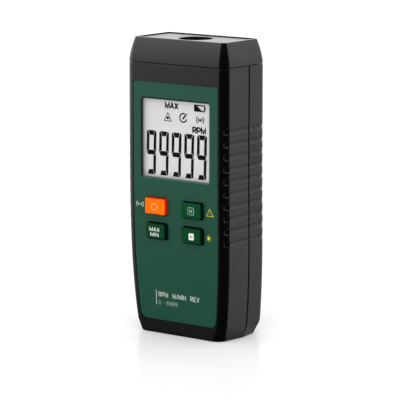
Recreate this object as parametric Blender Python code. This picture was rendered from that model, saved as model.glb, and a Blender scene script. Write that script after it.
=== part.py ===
"""A hand-held laser tachometer, built from the pieces it is assembled from.

Metres, +Z up. It stands on its base at z = 0 and its face looks along -Y.
The origin is at the middle of the base of the box that holds the whole instrument.
"""
import math

import bmesh
import bpy
from mathutils import Matrix

# Case: overall sizes
BODY_HEIGHT = 0.1604
BODY_WIDTH = 0.066
BODY_DEPTH = 0.0370
CORNER_RADIUS = 0.0044
LEAST_RADIUS = 0.0006
WALL = 0.00225
CAP_SEAM_DROP = 0.01335
SEAM_GAP = 0.0003
FRONT_SHELL_DEPTH = 0.0213

# Case: the lower half bows backwards and narrows, and the foot is cut back at a slant
BOW_START_DROP = 0.0604
BOW_RADIUS = 1.613
TAPER_START = 0.085
TAPER_DEPTH = 0.00417
TAPER_POWER = 3.06
FOOT_CUT_HEIGHT = 0.00645
FOOT_CUT_SOFTNESS = 0.0005
FOOT_CUT_WIDTH = 0.0009
FOOT_CUT_BACK = 0.0030
FOOT_CORNER_RADIUS = 0.0060
FOOT_RIDGE = 0.00155
FOOT_SEAM_JOG = 0.0032
BASE_EDGE_RADIUS = 0.0005
BASE_EDGE_STEPS = 3
BOW_STEPS = 7
CORNER_STEPS = 6
INNER_STEPS = 2
ROUND_STEPS = 20
FINE_STEPS = 32
PLUG_STEPS = 14
SCREW_STEPS = 10

# Clearances between pieces that seat on, or move past, each other
SEAT = 0.00025
SLIDE_GAP = 0.0003

# Grip scoops in both side walls, which wrap round the corners and end there
SCOOP_COUNT = 10
SCOOP_PITCH = 0.00664
SCOOP_DROP = 0.0335
SCOOP_HEIGHT = 0.0029
SCOOP_DEPTH = 0.00062
SCOOP_WRAP = 48.0
SCOOP_END_LENGTH = 0.0018
SCOOP_PATH = (0.0, 0.14, 0.42, 0.70, 1.0)
SCOOP_STEPS = 5
SCOOP_LIFT = 0.00003

# Nose cap
NOSE_BEND_POWER = 1.6
NOSE_INSET_WIDTH = 0.0029
NOSE_INSET_DEPTH = 0.0032
NOSE_CORNER_RADIUS = 0.0022
NOSE_RIM = 0.0012
NOSE_RECESS_DEPTH = 0.0013
NOSE_FLOOR = 0.0020
NOSE_WALL = 0.0022
SPIGOT_LENGTH = 0.0021
SPIGOT_WALL = 0.0012
SPIGOT_ROOT_HEIGHT = 0.0026
COLLAR_WALL = 0.0018

# Face panel
PANEL_BORDER = 0.0050
PANEL_TOP_DROP = 0.00995
PANEL_BOTTOM = 0.0076
PANEL_TOP_RADIUS = 0.0014
PANEL_BOTTOM_RADIUS = 0.0034
PANEL_THICKNESS = 0.0005
PANEL_INSET = 0.0001
PANEL_GAP = 0.00035

# Display
DISPLAY_BORDER = 0.0048
DISPLAY_HEIGHT = 0.0439
DISPLAY_DROP = 0.0082
DISPLAY_CORNER = 0.0014
WINDOW_THICKNESS = 0.00055
WINDOW_MARGIN = 0.0015
GLASS_MARGIN = 0.0022
GLASS_THICKNESS = 0.0018
GLASS_CORNER = 0.0004
BACKLIGHT_THICKNESS = 0.0020
FRAME_WALL = 0.0010
ZEBRA_HEIGHT = 0.0028
ZEBRA_MARGIN = 0.0012

# Keys and their switches
KEY_WIDTH = 0.0136
KEY_HEIGHT = 0.0088
POWER_KEY_WIDTH = 0.0140
POWER_KEY_HEIGHT = 0.0090
KEY_PROUD = 0.0025
KEY_CORNER = 0.0013
KEY_SHOULDER = 0.0009
KEY_DRAFT = 0.0002
KEY_GAP = 0.0004
KEY_LIP = 0.0009
KEY_TRAVEL = 0.0006
KEY_END_GAP = 0.0001
KEY_COLUMN_LEFT = -0.0123
KEY_COLUMN_RIGHT = 0.01175
KEY_ROW_DROP = 0.0147
KEY_ROW_PITCH = 0.0136
SWITCH_SIZE = 0.0062
SWITCH_HEIGHT = 0.0022
PLUNGER_RADIUS = 0.0017
PLUNGER_ENTRY = 0.0007
PLUNGER_GAP = 0.00025

# Case screws
CASE_SCREW_RADIUS = 0.00125
CASE_SCREW_HEAD_RADIUS = 0.0024
CASE_SCREW_HEAD = 0.0016
CASE_SCREW_SINK = 0.0012
CASE_SCREW_LENGTH = 0.024
CASE_POST_RADIUS = 0.0030
CASE_SCREW_HIGH_INSET = 0.0080
CASE_SCREW_HIGH_DROP = 0.00545
CASE_SCREW_LOW_INSET = 0.0087
CASE_SCREW_LOW_HEIGHT = 0.0304
SCREW_GAP = 0.00025
DRIVE_SLOT_WIDTH = 0.0007
DRIVE_SLOT_DEPTH = 0.0007

# Main board and what it carries
BOARD_SIDE_GAP = 0.0004
BOARD_TOP_DROP = 0.00905
BOARD_TAIL = 0.0153
BOARD_THICKNESS = 0.0016
BOARD_POST_RADIUS = 0.0022
BOARD_POST_INSET = 0.0029
BOARD_POST_TOP_INSET = 0.0032
BOARD_POST_LOW_INSET = 0.0035
BOARD_SCREW_RADIUS = 0.0010
BOARD_SCREW_HEAD_RADIUS = 0.0019
BOARD_SCREW_HEAD = 0.0014
BOARD_SCREW_GRIP = 0.0030
PROCESSOR_SIZE = 0.010
PROCESSOR_THICKNESS = 0.0012
PROCESSOR_X = 0.0085
PROCESSOR_DROP = 0.050
RADIO_WIDTH = 0.013
RADIO_HEIGHT = 0.017
RADIO_THICKNESS = 0.0022
RADIO_EDGE_INSET = 0.0019
RADIO_DROP = 0.034

# Optics in the nose
APERTURE_RADIUS = 0.00935
APERTURE_GLASS = 0.0015
OPTICS_DIVIDER = 0.0015
OPTICS_REACH = 0.0103
OPTICS_TOP_DROP = 0.0100
OPTICS_LENGTH = 0.030
OPTICS_CORNER = 0.002
LENS_RADIUS = 0.00465
LENS_WALL = 0.0017
LENS_SEAT_DEPTH = 0.0030
LENS_EDGE = 0.0010
LENS_CROWN = 0.0014
LIGHT_TUBE_RADIUS = 0.0039
LASER_RADIUS = 0.00265
LASER_WALL = 0.0022
LASER_LENGTH = 0.014
LASER_SINK = 0.0010
LASER_BEAM_RADIUS = 0.0011
LASER_BEAM_DEPTH = 0.0020
LASER_LEAD_RADIUS = 0.0011
SENSOR_BOARD_INSET = 0.0015
SENSOR_BOARD_DEPTH = 0.0145
SENSOR_BOARD_THICKNESS = 0.00125
PHOTODIODE_RADIUS = 0.0025
PHOTODIODE_HEIGHT = 0.0024
SADDLE_INSET = 0.0027
SADDLE_THICKNESS = 0.0016
SADDLE_FOOT = 0.0028
SADDLE_FOOT_HEIGHT = 0.0030

# Battery, its bay and its door
BATTERY_WIDTH = 0.0265
BATTERY_DEPTH = 0.0175
BATTERY_BODY_HEIGHT = 0.0464
BATTERY_BOTTOM = 0.0150
BATTERY_CORNER = 0.0026
BATTERY_EDGE = 0.0008
TERMINAL_HEIGHT = 0.0021
TERMINAL_SPACING = 0.0127
TERMINAL_PLUS_RADIUS = 0.00285
TERMINAL_MINUS_RADIUS = 0.0043
BAY_GAP = 0.00035
BAY_FLOOR = 0.0012
BAY_RIM = 0.0022
CONTACT_THICKNESS = 0.0006
CONTACT_BOARD_THICKNESS = 0.0012
DOOR_HALF_WIDTH = 0.01525
DOOR_BOTTOM = 0.01225
DOOR_TOP = 0.06775
DOOR_GAP = 0.00025
DOOR_HINGE_RADIUS = 0.0013
DOOR_PIN_RADIUS = 0.0006
DOOR_PIN_LENGTH = 0.0010
DOOR_PIN_GAP = 0.0001
DOOR_GROOVE_COUNT = 4
DOOR_GROOVE_PITCH = 0.0026
DOOR_GROOVE_LENGTH = 0.014
DOOR_GROOVE_HEIGHT = 0.0012
DOOR_GROOVE_DEPTH = 0.0006
THUMB_RADIUS = 0.0062
THUMB_DEPTH = 0.0011
THUMB_LENGTH = 0.014

# Tripod insert
INSERT_DROP = 0.04665
INSERT_RADIUS = 0.0045
INSERT_LENGTH = 0.0080
INSERT_BORE_RADIUS = 0.00265
INSERT_BOSS_WALL = 0.0023


def bow(z):
    """How far the case has bowed backwards at this height: a large circle below the start."""
    drop = max(0.0, BODY_HEIGHT - BOW_START_DROP - z)
    return drop * drop / (2 * BOW_RADIUS)


# Heights that follow from the sizes above
CAP_SEAM_HEIGHT = BODY_HEIGHT - CAP_SEAM_DROP
CASE_TOP = CAP_SEAM_HEIGHT - SEAM_GAP / 2
CAP_BOTTOM = CAP_SEAM_HEIGHT + SEAM_GAP / 2
SCOOP_TOP_CENTRE = CAP_SEAM_HEIGHT - SCOOP_DROP
PANEL_TOP = CAP_SEAM_HEIGHT - PANEL_TOP_DROP
DISPLAY_CENTRE = PANEL_TOP - DISPLAY_DROP - DISPLAY_HEIGHT / 2
KEY_ROW_HIGH = PANEL_TOP - DISPLAY_DROP - DISPLAY_HEIGHT - KEY_ROW_DROP
KEY_ROW_LOW = KEY_ROW_HIGH - KEY_ROW_PITCH
BOARD_TOP = CAP_SEAM_HEIGHT - BOARD_TOP_DROP
BOARD_BOTTOM = KEY_ROW_LOW - BOARD_TAIL
OPTICS_TOP = BODY_HEIGHT - OPTICS_TOP_DROP
OPTICS_BOTTOM = OPTICS_TOP - OPTICS_LENGTH
INSERT_HEIGHT = CAP_SEAM_HEIGHT - INSERT_DROP

# Depths: the box round the instrument reaches from the upper keys to the back above the foot cut
FOOT_TOP = FOOT_CUT_HEIGHT + FOOT_CUT_SOFTNESS
FRONT_Y = (KEY_PROUD - bow(KEY_ROW_HIGH) - BODY_DEPTH - bow(FOOT_TOP)) / 2
MIDDLE_Y = FRONT_Y + BODY_DEPTH / 2
POCKET_DEPTH = PANEL_INSET + PANEL_THICKNESS + SEAT
REBATE_DEPTH = POCKET_DEPTH + WINDOW_THICKNESS + SEAT
GLASS_FRONT = FRONT_Y + WALL + SEAT
GLASS_BACK = GLASS_FRONT + GLASS_THICKNESS
BOARD_FRONT = GLASS_BACK + SEAT + BACKLIGHT_THICKNESS + 2 * SEAT
BOARD_BACK = BOARD_FRONT + BOARD_THICKNESS
SWITCH_FRONT = BOARD_FRONT - SEAT - SWITCH_HEIGHT
KEY_BACK = SWITCH_FRONT - KEY_END_GAP - KEY_TRAVEL
OPTICS_BACK = MIDDLE_Y + OPTICS_REACH

# Widths
DISPLAY_WIDTH = BODY_WIDTH - 2 * PANEL_BORDER - 2 * DISPLAY_BORDER
GLASS_HALF_WIDTH = DISPLAY_WIDTH / 2 + GLASS_MARGIN
GLASS_HALF_HEIGHT = DISPLAY_HEIGHT / 2 + GLASS_MARGIN
CASE_SCREW_LOW_X = BODY_WIDTH / 2 - CASE_SCREW_LOW_INSET
BOARD_HALF_WIDTH = CASE_SCREW_LOW_X - CASE_POST_RADIUS - BOARD_SIDE_GAP
BOARD_POST_X = BOARD_HALF_WIDTH - BOARD_POST_INSET
OPTICS_WIDTH = LENS_WALL + 2 * (LENS_RADIUS + SEAT) + OPTICS_DIVIDER + 2 * (LASER_RADIUS + SEAT) + LASER_WALL
LENS_X = OPTICS_WIDTH / 2 - LENS_WALL - LENS_RADIUS - SEAT
LASER_X = LASER_WALL + LASER_RADIUS + SEAT - OPTICS_WIDTH / 2

KEYS = {
    "power": (KEY_COLUMN_LEFT, KEY_ROW_HIGH, POWER_KEY_WIDTH, POWER_KEY_HEIGHT),
    "memory": (KEY_COLUMN_RIGHT, KEY_ROW_HIGH, KEY_WIDTH, KEY_HEIGHT),
    "max_min": (KEY_COLUMN_LEFT, KEY_ROW_LOW, KEY_WIDTH, KEY_HEIGHT),
    "hold": (KEY_COLUMN_RIGHT, KEY_ROW_LOW, KEY_WIDTH, KEY_HEIGHT),
}
CASE_SCREWS = [(side * x, z) for x, z in ((BODY_WIDTH / 2 - CASE_SCREW_HIGH_INSET,
                                           CAP_SEAM_HEIGHT - CASE_SCREW_HIGH_DROP),
                                          (CASE_SCREW_LOW_X, CASE_SCREW_LOW_HEIGHT)) for side in (-1, 1)]
BOARD_SCREWS = [(side * BOARD_POST_X, z) for z in (BOARD_TOP - BOARD_POST_TOP_INSET,
                                                   BOARD_BOTTOM + BOARD_POST_LOW_INSET) for side in (-1, 1)]


# The outline of the body at a height

def soft_ramp(distance, softness):
    """Nothing before the corner, the distance itself after it, and a parabola between."""
    if distance <= -softness:
        return 0.0
    if distance >= softness:
        return distance
    return (distance + softness) ** 2 / (4 * softness)


def base_edge(z):
    """How far the rounded edge of the base draws the outline in."""
    drop = max(0.0, BASE_EDGE_RADIUS - z)
    return BASE_EDGE_RADIUS - math.sqrt(BASE_EDGE_RADIUS ** 2 - drop ** 2)


def foot_share(z):
    """Nothing above the slanted cut of the foot, and 1 at the base."""
    return soft_ramp(FOOT_CUT_HEIGHT - z, FOOT_CUT_SOFTNESS) / FOOT_CUT_HEIGHT


def half_width(z):
    """Half the width of the case, with its taper and the slanted cut of its foot."""
    drop = max(0.0, TAPER_START - z) / TAPER_START
    return BODY_WIDTH / 2 - TAPER_DEPTH * drop ** TAPER_POWER - FOOT_CUT_WIDTH * foot_share(z)


def front_y(z):
    return FRONT_Y + bow(z)


def back_y(z):
    return FRONT_Y + BODY_DEPTH + bow(z) - FOOT_CUT_BACK * foot_share(z)


def seam_y(z):
    return FRONT_Y + FRONT_SHELL_DEPTH + bow(z) - FOOT_SEAM_JOG * foot_share(z)


def body_levels():
    """The heights at which the outline of the body is drawn: close together where it bends."""
    levels = [BASE_EDGE_RADIUS * (1 - math.cos(math.pi / 2 * step / BASE_EDGE_STEPS))
              for step in range(BASE_EDGE_STEPS + 1)]
    levels += [FOOT_CUT_HEIGHT / 2, FOOT_CUT_HEIGHT - FOOT_CUT_SOFTNESS, FOOT_CUT_HEIGHT]
    span = BODY_HEIGHT - BOW_START_DROP - FOOT_TOP
    levels += [FOOT_TOP + span * (step / BOW_STEPS) ** 1.3 for step in range(BOW_STEPS + 1)]
    return levels


BODY_LEVELS = body_levels()


def levels_between(low, high):
    """The two heights, and every level of the body between them."""
    return [low] + [z for z in BODY_LEVELS if low + 1e-5 < z < high - 1e-5] + [high]


# Outlines as lists of points

def round_rect(half_u, half_v, radius, steps=CORNER_STEPS, centre=(0.0, 0.0)):
    """A rectangle with round corners, anticlockwise, in two dimensions."""
    points = []
    for corner, (side_u, side_v) in enumerate(((1, 1), (-1, 1), (-1, -1), (1, -1))):
        for step in range(steps + 1):
            angle = math.pi / 2 * (corner + step / steps)
            u = centre[0] + side_u * (half_u - radius) + radius * math.cos(angle)
            v = centre[1] + side_v * (half_v - radius) + radius * math.sin(angle)
            points.append((u, v))
    return points


def circle(radius, steps=ROUND_STEPS, centre=(0.0, 0.0)):
    return [(centre[0] + radius * math.cos(2 * math.pi * step / steps),
             centre[1] + radius * math.sin(2 * math.pi * step / steps)) for step in range(steps)]


def body_ring(z, inset=0.0, steps=CORNER_STEPS):
    """The outline of the case at a height, drawn in by the inset. The foot has a ridge at the seam."""
    drawn_in = inset + base_edge(z)
    low = front_y(z) + drawn_in
    high = back_y(z) - drawn_in
    half = half_width(z) - drawn_in
    corner = CORNER_RADIUS + (FOOT_CORNER_RADIUS - CORNER_RADIUS) * foot_share(z) - drawn_in
    outline = round_rect(half, (high - low) / 2, max(corner, LEAST_RADIUS), steps, (0.0, (high + low) / 2))
    ridge = half + FOOT_RIDGE * foot_share(z)
    left = 2 * (steps + 1)
    outline = outline[:left] + [(-ridge, seam_y(z))] + outline[left:] + [(ridge, seam_y(z))]
    return [(x, y, z) for x, y in outline]


def cap_ring(z, inset=0.0, steps=CORNER_STEPS):
    """The outline of the nose cap at a height: it leans in more and more from the seam up."""
    lean = max(0.0, (z - CAP_BOTTOM) / (BODY_HEIGHT - CAP_BOTTOM)) ** NOSE_BEND_POWER
    corner = CORNER_RADIUS + (NOSE_CORNER_RADIUS - CORNER_RADIUS) * lean
    outline = round_rect(BODY_WIDTH / 2 - NOSE_INSET_WIDTH * lean - inset,
                         BODY_DEPTH / 2 - NOSE_INSET_DEPTH * lean - inset,
                         max(corner - inset, LEAST_RADIUS), steps, (0.0, MIDDLE_Y))
    return [(x, y, z) for x, y in outline]


# Solids

def new_object(name, mesh):
    """Turns an edited mesh into an object whose faces point outwards."""
    bmesh.ops.recalc_face_normals(mesh, faces=mesh.faces)
    data = bpy.data.meshes.new(name)
    mesh.to_mesh(data)
    mesh.free()
    obj = bpy.data.objects.new(name, data)
    bpy.context.scene.collection.objects.link(obj)
    return obj


def loft(name, rings):
    """Joins rings of equally many points with faces, and closes both ends."""
    mesh = bmesh.new()
    rows = [[mesh.verts.new(point) for point in ring] for ring in rings]
    sides = []
    for lower, upper in zip(rows, rows[1:]):
        for index in range(len(lower)):
            following = (index + 1) % len(lower)
            sides.append(mesh.faces.new((lower[index], lower[following], upper[following], upper[index])))
    mesh.faces.new(list(reversed(rows[0])))
    mesh.faces.new(rows[-1])
    bmesh.ops.triangulate(mesh, faces=sides)
    return new_object(name, mesh)


def stack_z(name, outline, *heights):
    """An outline in X and Y pulled straight up."""
    return loft(name, [[(x, y, z) for x, y in outline] for z in heights])


def stack_y(name, outline, *depths):
    """An outline in X and Z pulled straight back."""
    return loft(name, [[(x, y, z) for x, z in outline] for y in depths])


def box(name, low, high):
    corners = ((low[0], low[1]), (high[0], low[1]), (high[0], high[1]), (low[0], high[1]))
    return stack_z(name, corners, low[2], high[2])


def bowed_block(name, half_x, low_z, high_z, near_y, far_y):
    """A block across the case between two depths that are functions of the height."""
    rings = []
    for z in levels_between(low_z, high_z):
        rings.append([(-half_x, near_y(z), z), (half_x, near_y(z), z),
                      (half_x, far_y(z), z), (-half_x, far_y(z), z)])
    return loft(name, rings)


def turned(name, profile, centre, steps=ROUND_STEPS):
    """A profile of radius and height turned about a vertical axis. Both ends lie off the axis."""
    rings = []
    for radius, z in profile:
        rings.append([(centre[0] + x, centre[1] + y, z) for x, y in circle(radius, steps)])
    return loft(name, rings)


def turned_y(name, profile, centre, steps=ROUND_STEPS):
    """A profile of radius and depth turned about an axis along Y. The centre is in X and Z."""
    rings = []
    for radius, y in profile:
        rings.append([(centre[0] + u, y, centre[1] + v) for u, v in circle(radius, steps)])
    return loft(name, rings)


def turned_x(name, radius, low_x, high_x, centre, steps=ROUND_STEPS):
    """A round bar along X. The centre is in Y and Z."""
    return loft(name, [[(x, centre[0] + u, centre[1] + v) for u, v in circle(radius, steps)]
                       for x in (low_x, high_x)])


def joined(name, objects):
    """Several solids that don't meet, as one object, to cut or to add in one go."""
    mesh = bmesh.new()
    for obj in objects:
        mesh.from_mesh(obj.data)
        bpy.data.objects.remove(obj)
    return new_object(name, mesh)


def combine(target, tool, operation):
    """Cuts the tool away from the target, adds it, or keeps what they share."""
    step = target.modifiers.new(operation.title(), "BOOLEAN")
    step.operation = operation
    step.solver = "EXACT"
    step.object = tool
    tool.hide_render = True
    tool.display_type = "WIRE"
    bpy.context.view_layer.update()
    shaped = bpy.data.meshes.new_from_object(target.evaluated_get(bpy.context.evaluated_depsgraph_get()))
    target.modifiers.clear()
    target.data = shaped
    shaped.name = target.name
    bpy.data.objects.remove(tool)


def cut(target, *tools):
    for tool in tools:
        combine(target, tool, "DIFFERENCE")


def add(target, *tools):
    for tool in tools:
        combine(target, tool, "UNION")


def keep(target, tool):
    combine(target, tool, "INTERSECT")


def finish(obj, surface, smooth_angle=None):
    """Welds what a cut leaves doubled, and gives the piece its material and its shading."""
    mesh = bmesh.new()
    mesh.from_mesh(obj.data)
    bmesh.ops.remove_doubles(mesh, verts=mesh.verts, dist=1e-7)
    bmesh.ops.dissolve_degenerate(mesh, edges=mesh.edges, dist=1e-7)
    mesh.to_mesh(obj.data)
    mesh.free()
    obj.data.materials.clear()
    obj.data.materials.append(surface)
    if smooth_angle is not None:
        obj.data.shade_smooth()
        obj.data.set_sharp_from_angle(angle=math.radians(smooth_angle))
    return obj


def move_origin(obj, point):
    """Puts the object's origin on a point and leaves its shape where it is."""
    obj.data.transform(Matrix.Translation([-value for value in point]))
    obj.location = point


def surface(name, colour, roughness, metallic=0.0, alpha=1.0):
    """A Principled material. The colour is sRGB, from 0 to 255."""
    linear = []
    for value in colour:
        share = value / 255
        linear.append(share / 12.92 if share <= 0.04045 else ((share + 0.055) / 1.055) ** 2.4)
    material = bpy.data.materials.new(name)
    material.use_nodes = True
    shader = material.node_tree.nodes["Principled BSDF"]
    shader.inputs["Base Color"].default_value = (*linear, 1.0)
    shader.inputs["Roughness"].default_value = roughness
    shader.inputs["Metallic"].default_value = metallic
    shader.inputs["Alpha"].default_value = alpha
    material.diffuse_color = (*linear, alpha)
    return material


# The case

def scoop_path(z):
    """The way round the side of the case at a height: place, way out, and share of the full scoop there."""
    path = []
    wrap = math.radians(SCOOP_WRAP)
    for end, centre_y in ((-1, front_y(z) + CORNER_RADIUS), (1, back_y(z) - CORNER_RADIUS)):
        places = []
        for part in SCOOP_PATH:
            closing = max(0.0, 1 - CORNER_RADIUS * wrap * part / SCOOP_END_LENGTH)
            across = math.cos(wrap * (1 - part))
            along = end * math.sin(wrap * (1 - part))
            places.append((half_width(z) - CORNER_RADIUS + CORNER_RADIUS * across,
                           centre_y + CORNER_RADIUS * along, across, along,
                           math.sqrt(max(0.02, 1 - closing ** 2))))
        path += places if end < 0 else places[::-1]
    return path


def scoop_cutters(name):
    """Half-oval grooves that run from corner to corner round both sides, with round ends."""
    cutters = []
    for index in range(SCOOP_COUNT):
        z = SCOOP_TOP_CENTRE - index * SCOOP_PITCH
        for side in (-1, 1):
            rings = []
            for x, y, across, along, share in scoop_path(z):
                ring = []
                for step in range(SCOOP_STEPS + 1):
                    angle = math.pi * (step / SCOOP_STEPS - 0.5)
                    depth = SCOOP_DEPTH * share * math.cos(angle) - SCOOP_LIFT
                    ring.append((side * (x - across * depth), y - along * depth,
                                 z + SCOOP_HEIGHT / 2 * share * math.sin(angle)))
                for end in (1, -1):
                    ring.append((side * (x + across * SCOOP_DEPTH), y + along * SCOOP_DEPTH,
                                 z + end * SCOOP_HEIGHT / 2 * share))
                rings.append(ring)
            cutters.append(loft(name, rings))
    return joined(name, cutters)


def body_shell(name):
    """The whole hollow body below the nose cap, before it is parted."""
    levels = levels_between(0.0, CASE_TOP)
    shell = loft(name, [body_ring(z) for z in levels])
    hollow_levels = levels_between(WALL, CASE_TOP + WALL)
    cut(shell, loft("hollow", [body_ring(z, WALL, INNER_STEPS) for z in hollow_levels]))
    cut(shell, scoop_cutters("scoops"))
    return shell


def panel_outline(grow):
    """The face panel's edge in X and Z: it keeps its border from the side of the case all the way down."""
    def edge(z):
        return half_width(max(z, FOOT_TOP)) - PANEL_BORDER + grow
    top = PANEL_TOP + grow
    bottom = PANEL_BOTTOM - grow
    high = top - PANEL_TOP_RADIUS
    low = bottom + PANEL_BOTTOM_RADIUS
    right = []
    for step in range(CORNER_STEPS + 1):
        angle = math.pi / 2 * step / CORNER_STEPS
        right.append((edge(bottom) - PANEL_BOTTOM_RADIUS * (1 - math.sin(angle)),
                      low - PANEL_BOTTOM_RADIUS * math.cos(angle)))
    right += [(edge(z), z) for z in levels_between(low, high)[1:-1]]
    for step in range(CORNER_STEPS + 1):
        angle = math.pi / 2 * step / CORNER_STEPS
        right.append((edge(high) - PANEL_TOP_RADIUS * (1 - math.cos(angle)),
                      high + PANEL_TOP_RADIUS * math.sin(angle)))
    return right + [(-x, z) for x, z in reversed(right)]


def panel_slab(name, grow, near, far):
    """A slab that follows the bowed front between two depths, with the panel's outline."""
    slab = bowed_block(name, BODY_WIDTH, 0.0, BODY_HEIGHT,
                       lambda z: front_y(z) + near, lambda z: front_y(z) + far)
    keep(slab, stack_y("outline", panel_outline(grow), FRONT_Y - WALL, FRONT_Y + 3 * WALL))
    return slab


def display_prism(name, grow, near, far):
    outline = round_rect(DISPLAY_WIDTH / 2 + grow, DISPLAY_HEIGHT / 2 + grow, DISPLAY_CORNER + grow,
                         3, (0.0, DISPLAY_CENTRE))
    return stack_y(name, outline, near, far)


def key_openings(name, grow):
    """The four holes that the keys come through."""
    cutters = []
    for x, z, width, height in KEYS.values():
        outline = round_rect(width / 2 + grow, height / 2 + grow, KEY_CORNER + grow, 3, (x, z))
        cutters.append(stack_y(name, outline, FRONT_Y - WALL, FRONT_Y + 3 * WALL))
    return joined(name, cutters)


def build_front_case(shell, plastic):
    """The front half of the body, with the pocket for the panel, the openings and the screw posts."""
    case = shell
    far = BODY_DEPTH * 2
    cut(case, bowed_block("rear_half", BODY_WIDTH, -WALL, BODY_HEIGHT,
                          lambda z: seam_y(z) - SEAM_GAP / 2, lambda z: far))
    posts = []
    for x, z in CASE_SCREWS:
        end = seam_y(z) - SEAM_GAP / 2
        posts.append(turned_y("post", [(CASE_POST_RADIUS, front_y(z) + WALL * 0.7), (CASE_POST_RADIUS, end)],
                              (x, z), SCREW_STEPS))
    for x, z in BOARD_SCREWS:
        posts.append(turned_y("post", [(BOARD_POST_RADIUS, front_y(z) + WALL * 0.7),
                                       (BOARD_POST_RADIUS, BOARD_FRONT - SEAT)], (x, z), SCREW_STEPS))
    add(case, joined("posts", posts))
    cut(case, panel_slab("pocket", PANEL_GAP, -WALL, POCKET_DEPTH))
    cut(case, display_prism("rebate", WINDOW_MARGIN + SEAT, FRONT_Y - WALL, FRONT_Y + REBATE_DEPTH),
        display_prism("opening", 0.0, FRONT_Y, FRONT_Y + 2 * WALL),
        key_openings("key_openings", KEY_GAP))
    bores = []
    for x, z in CASE_SCREWS:
        radius = CASE_SCREW_RADIUS + SCREW_GAP
        bores.append(turned_y("bore", [(radius, front_y(z) + 1.2 * WALL), (radius, far)], (x, z), SCREW_STEPS))
    for x, z in BOARD_SCREWS:
        radius = BOARD_SCREW_RADIUS + SCREW_GAP
        start = front_y(z) + 1.2 * WALL
        bores.append(turned_y("bore", [(radius, start), (radius, BOARD_FRONT)], (x, z), SCREW_STEPS))
    cut(case, joined("bores", bores))
    return finish(case, plastic, 42)


def battery_back():
    """The battery stands upright against the door where the door lies furthest in."""
    return back_y(DOOR_TOP) - WALL - BAY_GAP


def hinge_axis():
    """The door's hinge, in Y and Z: its lower edge is rounded about this line."""
    z = DOOR_BOTTOM + DOOR_HINGE_RADIUS
    return (back_y(z) - DOOR_HINGE_RADIUS, z)


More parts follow.
